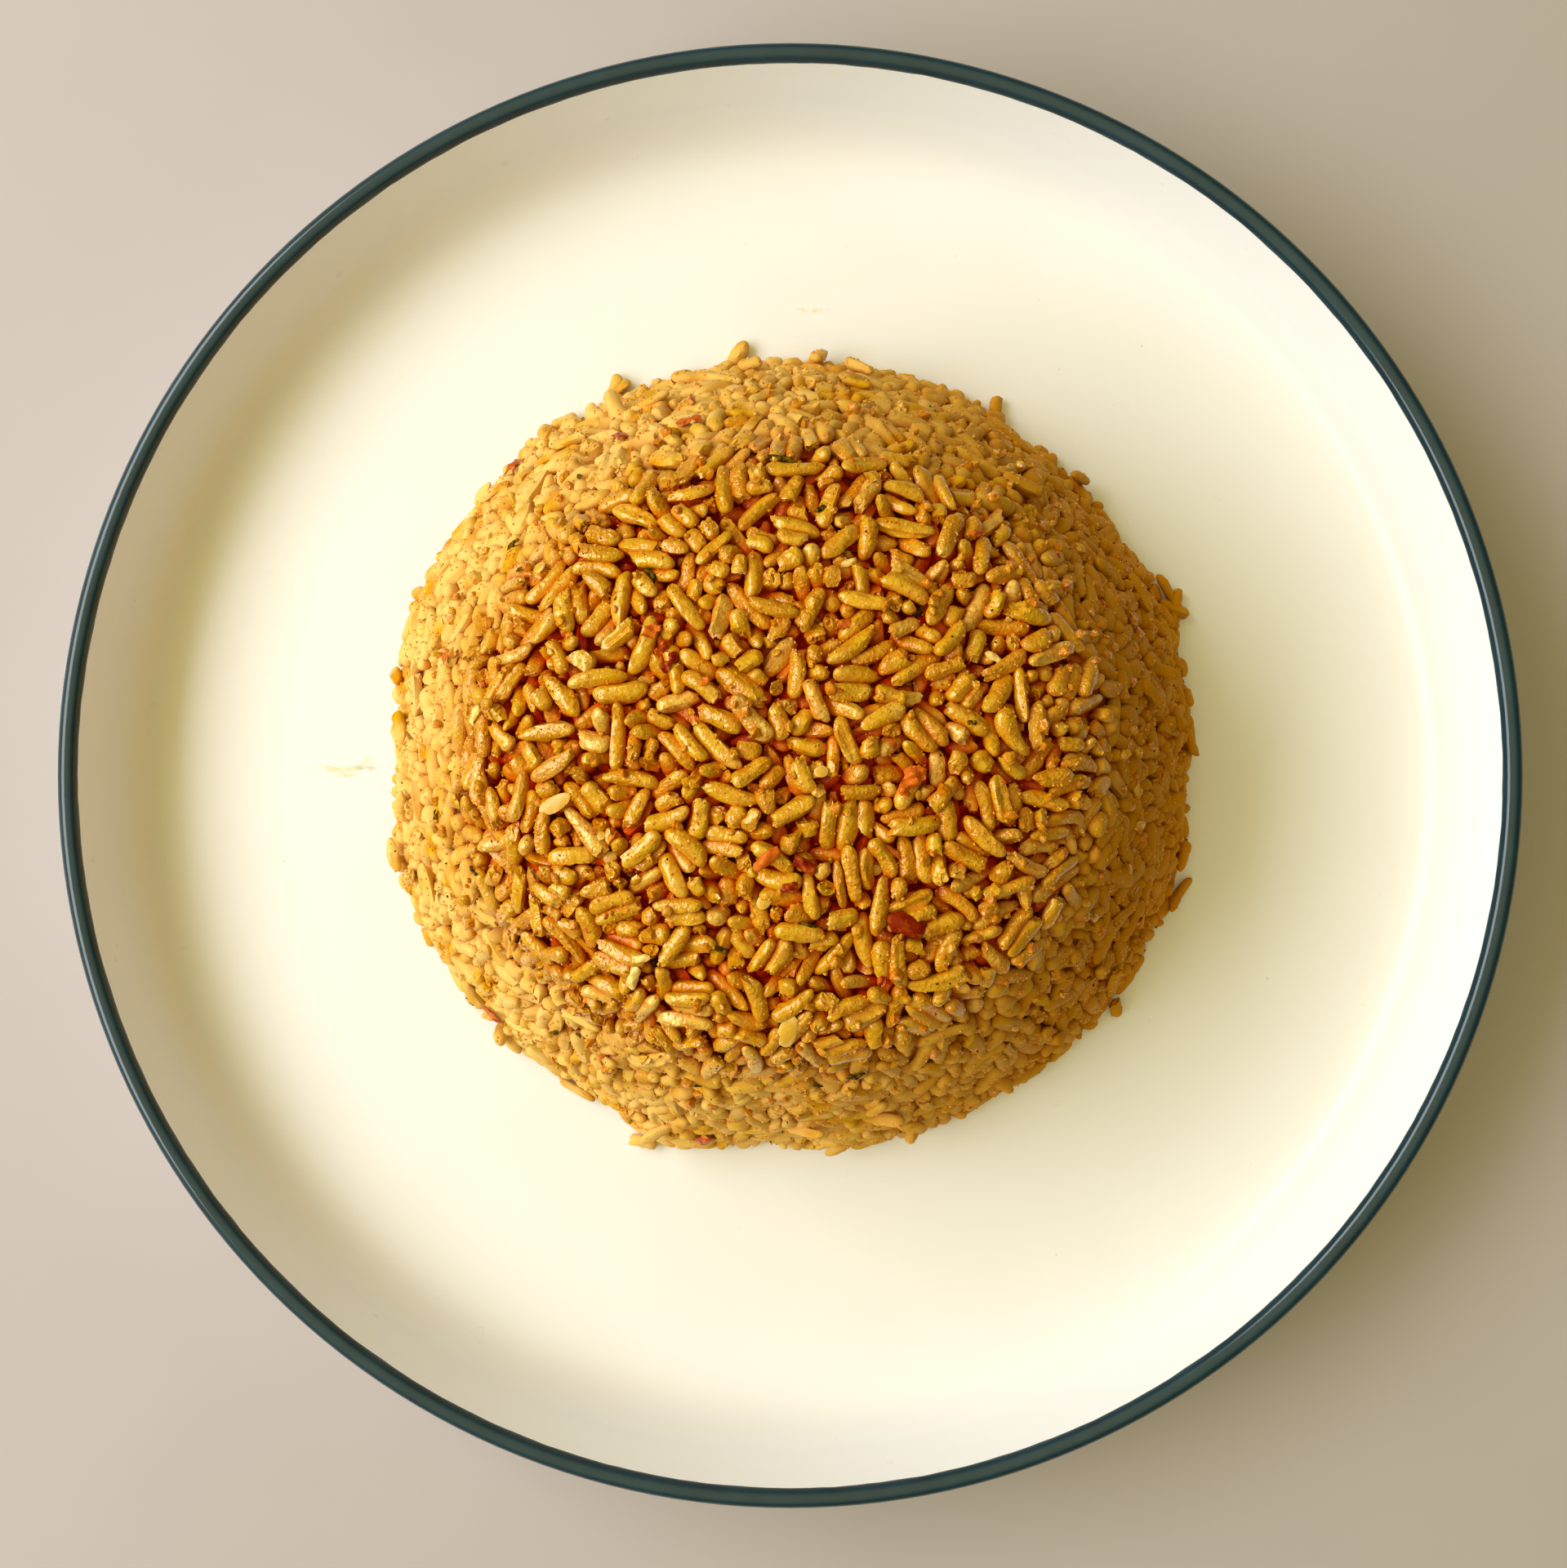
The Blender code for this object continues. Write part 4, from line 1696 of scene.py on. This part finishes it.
@dataclass(frozen=True)
class Sprinkled(Scattered):
    """Small lumps of one kind, dropped at random on the heap."""

    # How many are dropped and how far down the section they reach, from 0 at the crown to 1 at the foot.
    count: int
    low: float
    # The least and the most half size, and its share along each axis, or what those shares vary between.
    half_size: tuple[float, float]
    rough: float
    # How high the middles stand, in half thicknesses.
    lift: float
    shares: tuple[float, float, float] = (1.0, 1.0, 1.0)
    uneven: tuple[float, float] | None = None
    # The size of the patches that they gather in, or 0 for none.
    patch: float = 0.0
    tumble: float = 0.5

    def dropped(self, surface: HeapSurface, rng: np.random.Generator) -> np.ndarray:
        """Vertices of the lumps where they lie, shape (n, vertices, 3)."""
        seats = surface.scatter(self.count, rng, self.low, self.patch)
        sizes = rng.uniform(*self.half_size, (seats.count, 1))
        shares = rng.uniform(*self.uneven, (seats.count, 3)) if self.uneven else np.array(self.shares)
        sizes = sizes * shares
        forms = self.lumps(sizes, self.rough, rng)
        spin = rng.uniform(0.0, 2.0 * math.pi, seats.count)
        lean = rng.normal(0.0, self.tumble, seats.count)
        return self.settle(forms, seats, spin, lean, sizes[:, 2] * self.lift)


@dataclass(frozen=True)
class Flake:
    """One larger flake or leaf: where it lies, its size, angle and curl, how dark, sunk and crumpled."""

    x: float
    y: float
    length: float
    width: float
    angle: float = 0.0
    curl: float = 1.0
    tone: float = 0.5
    sunk: float = 0.0
    rough: float = 0.14


@dataclass
class Dressing:
    """Chilli and tomato skins, dried thyme, ground pepper, spice, seeds and rice crumbs over the heap."""

    surface: HeapSurface
    seed: int = 61
    crumb: Sprinkled = Sprinkled(6, 7, 560, 0.72, (0.35, 1.05), rough=0.13, lift=0.35, uneven=(0.7, 1.25))
    grit: Sprinkled = Sprinkled(
        1, 4, 22000, 0.95, (0.12, 0.30), rough=0.15, lift=0.3, uneven=(0.7, 1.3), patch=4.0
    )
    chip: Sprinkled = Sprinkled(5, 8, 90, 0.95, (0.25, 0.75), rough=0.12, lift=0.8, shares=(1.0, 0.7, 0.22))
    speck: Sprinkled = Sprinkled(4, 6, 280, 0.98, (0.07, 0.20), rough=0.15, lift=0.4, uneven=(0.6, 1.5))
    skins: tuple[Flake, ...] = (
        Flake(-19.6, 20.4, 5.6, 3.2, 84.0, 1.1, 0.55, 0.9, 0.40),
        Flake(-21.6, 22.2, 3.6, 2.4, 20.0, 0.9, 0.10, 0.6, 0.36),
        Flake(-18.8, 17.4, 3.6, 2.2, 50.0, 1.3, 0.95, 0.5, 0.34),
        Flake(-20.8, 18.8, 2.6, 1.8, -50.0, 1.0, 0.30, 0.3, 0.34),
        Flake(18.1, -1.2, 4.8, 3.4, 68.0, 1.1, 0.0, 0.2, 0.30),
        Flake(19.6, 0.2, 2.8, 2.4, -20.0, 0.8, 0.1, 0.3, 0.3),
        Flake(17.9, -23.3, 6.4, 3.8, -22.0, 0.8, 0.80, -0.1, 0.05),
        Flake(-3.7, -12.9, 5.0, 2.4, 40.0, 1.0, 0.05),
        Flake(2.0, -14.0, 4.0, 3.0, -30.0, 1.6, 0.75, 0.4),
        Flake(-0.2, -17.4, 2.6, 1.8, 10.0, 1.2, 0.7, 0.2),
        Flake(-7.5, -19.5, 3.0, 3.0, 60.0, 0.8, 0.8, 1.2),
        Flake(-13.2, 14.3, 1.9, 1.5, 40.0, 0.8, 0.0),
        Flake(8.4, 23.2, 2.6, 1.8, 0.0, 0.8, 0.2),
        Flake(15.7, -12.0, 3.2, 1.4, -35.0, 1.2, 0.1),
        Flake(24.8, 15.2, 1.6, 1.2, 0.0, 0.8, 0.1),
        Flake(29.2, 37.9, 2.2, 1.8, 20.0, 0.9, 0.4),
        Flake(-16.7, 58.6, 4.4, 2.6, 25.0, 0.7, 0.3),
        Flake(-29.0, 57.5, 4.0, 2.0, -15.0, 0.8, 0.6),
        Flake(-50.2, 56.0, 4.6, 3.0, 55.0, 0.7, 0.5),
        Flake(-54.0, -43.0, 5.0, 2.6, -50.0, 0.6, 0.3),
        Flake(-57.9, 19.8, 2.6, 1.8, 80.0, 0.7, 0.2),
        Flake(-16.0, -66.0, 5.6, 3.0, 10.0, 0.6, 0.5),
    )
    leaves: tuple[Flake, ...] = (
        Flake(-1.8, 49.9, 4.8, 1.7, -8.0, 1.9, 0.1),
        Flake(-22.0, 31.4, 2.8, 1.4, -45.0, 1.6, 0.5),
        Flake(19.8, 25.3, 3.4, 1.6, 48.0, 1.7, 0.3),
        Flake(4.6, 41.6, 2.0, 1.2, 30.0, 1.4, 0.3),
        Flake(-46.3, 38.5, 2.9, 1.3, 50.0, 1.7, 0.6),
        Flake(-43.6, 33.0, 1.8, 1.1, 10.0, 1.4, 0.4),
        Flake(-21.4, -30.2, 3.6, 2.2, -35.0, 1.1, 0.1, -0.3),
        Flake(-24.4, -31.4, 1.8, 1.0, 70.0, 1.2, 0.3, -1.0),
        Flake(-10.8, -27.5, 2.4, 1.3, -20.0, 1.3, 0.0),
        Flake(10.5, -48.8, 3.2, 1.9, 35.0, 1.5, 0.1),
        Flake(4.6, -51.5, 2.0, 1.0, -10.0, 1.5, 0.5),
        Flake(-40.3, -44.2, 2.2, 1.2, 15.0, 1.5, 0.4),
        Flake(-35.8, -44.6, 2.0, 1.1, -30.0, 1.5, 0.4),
        Flake(-60.7, -7.0, 2.4, 1.2, 80.0, 1.5, 0.4),
        Flake(-52.2, -15.7, 2.2, 1.1, -50.0, 1.4, 0.5),
        Flake(2.4, -23.3, 3.2, 0.9, -15.0, 1.5, 0.2),
        Flake(-15.4, -52.0, 2.4, 1.3, 20.0, 1.4, 0.5),
        Flake(-35.4, 50.0, 1.8, 1.1, -20.0, 1.4, 0.5),
        Flake(28.0, 8.0, 1.6, 1.0, 0.0, 1.4, 0.4),
    )
    husks: tuple[Flake, ...] = (
        Flake(-24.6, -31.6, 4.6, 2.4, 65.0, 1.3, sunk=-0.6, rough=0.13),
        Flake(-23.2, -28.6, 2.6, 1.6, 10.0, 1.2, sunk=-0.4, rough=0.12),
        Flake(31.6, 18.4, 3.0, 1.6, -30.0, 1.2, rough=0.16),
        Flake(-50.5, 9.5, 3.4, 1.7, 60.0, 1.0, rough=0.16),
        Flake(9.0, 33.0, 2.6, 1.4, 20.0, 1.1, rough=0.16),
    )
    # Middle (x, y), half length, half width and angle of each pale seed.
    seeds: tuple[tuple[float, float, float, float, float], ...] = (
        (-9.1, -25.2, 1.30, 1.15, 0.0),
        (-4.3, -19.9, 1.15, 1.00, 40.0),
        (13.3, -14.9, 1.05, 0.95, 0.0),
        (-40.4, 33.2, 1.25, 1.10, 0.0),
        (4.6, 0.4, 1.10, 0.95, 0.0),
        (-28.5, -13.0, 1.15, 1.00, 0.0),
        (-30.0, -9.5, 1.00, 0.90, 0.0),
        (-0.5, -40.5, 3.10, 1.55, 75.0),
        (-37.0, -4.6, 2.90, 1.30, 25.0),
    )

    def build(self) -> None:
        """Make every kind and set it on the rice."""
        rng = np.random.default_rng(self.seed)
        self.crumbs(rng)
        self.spice(rng)
        self.flakes("chilli_flakes", self.skins, SkinFinish().material("pepper_skin"), 0.13, rng)
        self.flakes("thyme_leaves", self.leaves, HerbFinish().material("dried_leaf"), 0.11, rng)
        self.flakes("rice_husks", self.husks, HuskFinish().material("husk"), 0.09, rng)
        self.chips(rng)
        self.pepper(rng)
        self.seed_discs(rng)

    def flakes(
        self,
        name: str,
        chosen: tuple[Flake, ...],
        material: bpy.types.Material,
        thick: float,
        rng: np.random.Generator,
    ) -> None:
        """Set the larger flakes or leaves where they lie.

        Args:
            name: The piece's name.
            chosen: The flakes.
            material: Their finish.
            thick: Their half thickness.
            rng: The source of their differences.
        """
        shaper = Scattered(15, 16)
        sizes = np.array([[flake.length / 2, flake.width / 2, thick] for flake in chosen])
        rough = np.array([flake.rough for flake in chosen])
        forms = shaper.curls(sizes, np.array([flake.curl for flake in chosen]), rough, rng)
        forms[..., 2] -= sizes[:, None, 1] * 0.5
        forms[..., 2] *= -1.0
        forms[..., 1] *= -1.0
        seats = self.surface.under([(flake.x, flake.y) for flake in chosen])
        spin = np.radians([flake.angle for flake in chosen])
        lean = rng.normal(0.0, 0.25, len(chosen))
        lift = 0.1 + sizes[:, 1] * 0.25 - np.array([flake.sunk for flake in chosen])
        points = shaper.settle(forms, seats, spin, lean, lift)
        values = {"tone": np.array([flake.tone for flake in chosen]), "rim": np.ones(len(chosen))}
        joined_piece(name, points, shaper.net, material, values)

    def crumbs(self, rng: np.random.Generator) -> None:
        """Rough broken ends of rice lying among the grains."""
        points = self.crumb.dropped(self.surface, rng)
        count = len(points)
        # No painted gap or flank shade and no starch on the crumbs; oil with painted shade at random, below.
        values = {key: np.zeros(count) for key in ("gap_shade", "starch", "pressed", "right_shade")}
        values["tone"] = rng.random(count)
        values["spice"] = rng.uniform(0.3, 1.0, count)
        values["pale"] = (rng.random(count) < 0.15) * 0.6
        values["under"] = rng.uniform(0.0, 0.8, count)
        material = GrainFinish().material("rice_crumb")
        joined_piece("rice_crumbs", points, self.crumb.net, material, values)

    def spice(self, rng: np.random.Generator) -> None:
        """Granules of ground spice stuck to the grains in patches."""
        points = self.grit.dropped(self.surface, rng)
        values = {"tone": rng.beta(1.0, 2.6, len(points))}
        material = SpiceFinish().material("spice")
        joined_piece("spice_grit", points, self.grit.net, material, values)

    def chips(self, rng: np.random.Generator) -> None:
        """Chips of chilli skin too small to curl."""
        points = self.chip.dropped(self.surface, rng)
        values = {"tone": rng.random(len(points))}
        material = SkinFinish().material("pepper_chip")
        joined_piece("chilli_chips", points, self.chip.net, material, values)

    def pepper(self, rng: np.random.Generator) -> None:
        """Black specks of pepper and crumbled herb."""
        points = self.speck.dropped(self.surface, rng)
        values = {"tone": rng.random(len(points))}
        material = HerbFinish(grain=0.3).material("pepper")
        joined_piece("pepper_specks", points, self.speck.net, material, values)

    def seed_discs(self, rng: np.random.Generator) -> None:
        """Flat pale seeds."""
        shaper = Scattered(9, 18)
        seats = self.surface.under([seed[:2] for seed in self.seeds])
        sizes = np.array([[long, wide, wide * 0.30] for _, _, long, wide, _ in self.seeds])
        forms = shaper.lumps(sizes, 0.035, rng)
        spin = np.radians([seed[4] for seed in self.seeds])
        points = shaper.settle(forms, seats, spin, rng.normal(0.0, 0.3, seats.count), sizes[:, 2] * 0.6)
        rim = np.repeat(np.sin(np.pi * (np.arange(shaper.rings) + 1) / (shaper.rings + 1)), shaper.sides)
        values = {"rim": np.tile(np.concatenate([[0.0], rim, [0.0]]), (seats.count, 1))}
        joined_piece("pale_seeds", points, shaper.net, SeedFinish().material("seed"), values)


# ---------------------------------------------------------------------------------------------------------
# Light, ground and camera
# ---------------------------------------------------------------------------------------------------------


@dataclass(frozen=True)
class Studio:
    """A pale floor, a wide soft window light from the left and a warm fill overhead, seen from above."""

    # Where the camera stands, and half the width that it sees at a distance of one.
    eye: Vector = Vector((-1.2, -1.5, 332.0))
    half_view: float = 0.4555
    floor_half: float = 3000.0
    floor_level: float = -0.1
    # The window: direction and height in degrees, distance, size, watts and colour.
    window_azimuth: float = 172.0
    window_height: float = 42.0
    window_distance: float = 900.0
    window_size: tuple[float, float] = (1100.0, 440.0)
    window_power: float = 10.2
    window_colour: Colour = (0.83, 0.84, 0.92)
    # The fill: its colour and strength, the direction it comes from and how wide it opens, and the dim room.
    fill_colour: Colour = (1.0, 0.86, 0.315)
    fill_from: Vector = Vector((-0.42, 0.05, 0.90))
    fill_spread: float = 0.22
    fill_strong: float = 1.10
    room_colour: Colour = (0.080, 0.068, 0.046)

    def build(self) -> None:
        """Set up the floor, the lights, the world and the camera."""
        self.floor()
        self.window()
        self.fill()
        self.camera()

    def floor(self) -> None:
        """A wide plain floor at the height that the plate stands on."""
        sides = ((-1.0, -1.0), (1.0, -1.0), (1.0, 1.0), (-1.0, 1.0))
        corners = np.array([(x * self.floor_half, y * self.floor_half, self.floor_level) for x, y in sides])
        faces = np.array([[0, 1, 2], [0, 2, 3]])
        floor = new_piece("studio_floor", corners, faces, FloorFinish().material("pale_floor"))

    def window(self) -> None:
        """The wide soft key light, low on the left."""
        azimuth, height = math.radians(self.window_azimuth), math.radians(self.window_height)
        level = math.cos(height)
        toward = Vector((math.cos(azimuth) * level, math.sin(azimuth) * level, math.sin(height)))
        data = bpy.data.lights.new("window", "AREA")
        data.shape = "RECTANGLE"
        data.size, data.size_y = (side * MM for side in self.window_size)
        data.energy = self.window_power
        data.color = self.window_colour
        lamp = bpy.data.objects.new("window", data)
        lamp.location = toward * self.window_distance * MM
        lamp.rotation_euler = toward.to_track_quat("Z", "Y").to_euler()
        bpy.context.scene.collection.objects.link(lamp)

    def fill(self) -> None:
        """The warm light that the room gives back."""
        world = bpy.data.worlds.new("room")
        world.use_nodes = True
        tree = world.node_tree
        background = tree.nodes["Background"]
        direction = tree.nodes.new("ShaderNodeTexCoord").outputs["Generated"]
        toward = tree.nodes.new("ShaderNodeVectorMath")
        toward.operation = "DOT_PRODUCT"
        toward.inputs[1].default_value = self.fill_from.normalized()
        rise = tree.nodes.new("ShaderNodeMapRange")
        rise.interpolation_type = "SMOOTHSTEP"
        rise.inputs["From Min"].default_value = self.fill_spread
        glow = tree.nodes.new("ShaderNodeMix")
        glow.data_type = "RGBA"
        glow.inputs[6].default_value = (*self.room_colour, 1.0)
        glow.inputs[7].default_value = (*(self.fill_strong * part for part in self.fill_colour), 1.0)
        tree.links.new(direction, toward.inputs[0])
        tree.links.new(toward.outputs["Value"], rise.inputs["Value"])
        tree.links.new(rise.outputs["Result"], glow.inputs[0])
        tree.links.new(glow.outputs[2], background.inputs["Color"])
        bpy.context.scene.world = world

    def camera(self) -> None:
        """The camera straight above the plate."""
        data = bpy.data.cameras.new("camera")
        data.sensor_width = 36.0
        data.lens = data.sensor_width / 2 / self.half_view
        data.clip_start, data.clip_end = 0.01, 20.0
        camera = bpy.data.objects.new("camera", data)
        camera.location = self.eye * MM
        bpy.context.scene.collection.objects.link(camera)
        bpy.context.scene.camera = camera
        bpy.context.scene.view_settings.view_transform = "Standard"


def main() -> None:
    """Build the plate, the rice and what dresses them, then the studio."""
    logging.basicConfig(level=logging.INFO, format="%(message)s")
    LOG.info("frame: %s", ", ".join(frame["nodes"]))
    plate_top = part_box("plate")[1] / MM
    rice_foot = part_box("rice_mound")[0] / MM
    plate = DinnerPlate(radius=plate_top.x, height=plate_top.z)
    LOG.info("plate: %s", plate.build().name)
    LOG.info("oil: %s", OilSmears(floor=plate.floor).build().name)
    mound = RiceMound(mould=Mould(), origin=np.array([0.0, MOUND_SHIFT, rice_foot.z]))
    for piece in mound.build():
        LOG.info("rice: %s", piece.name)
    bpy.context.view_layer.update()
    Dressing(HeapSurface(mound.mould, mound.origin, mound.pieces)).build()
    Studio().build()


if __name__ == "__main__":
    main()
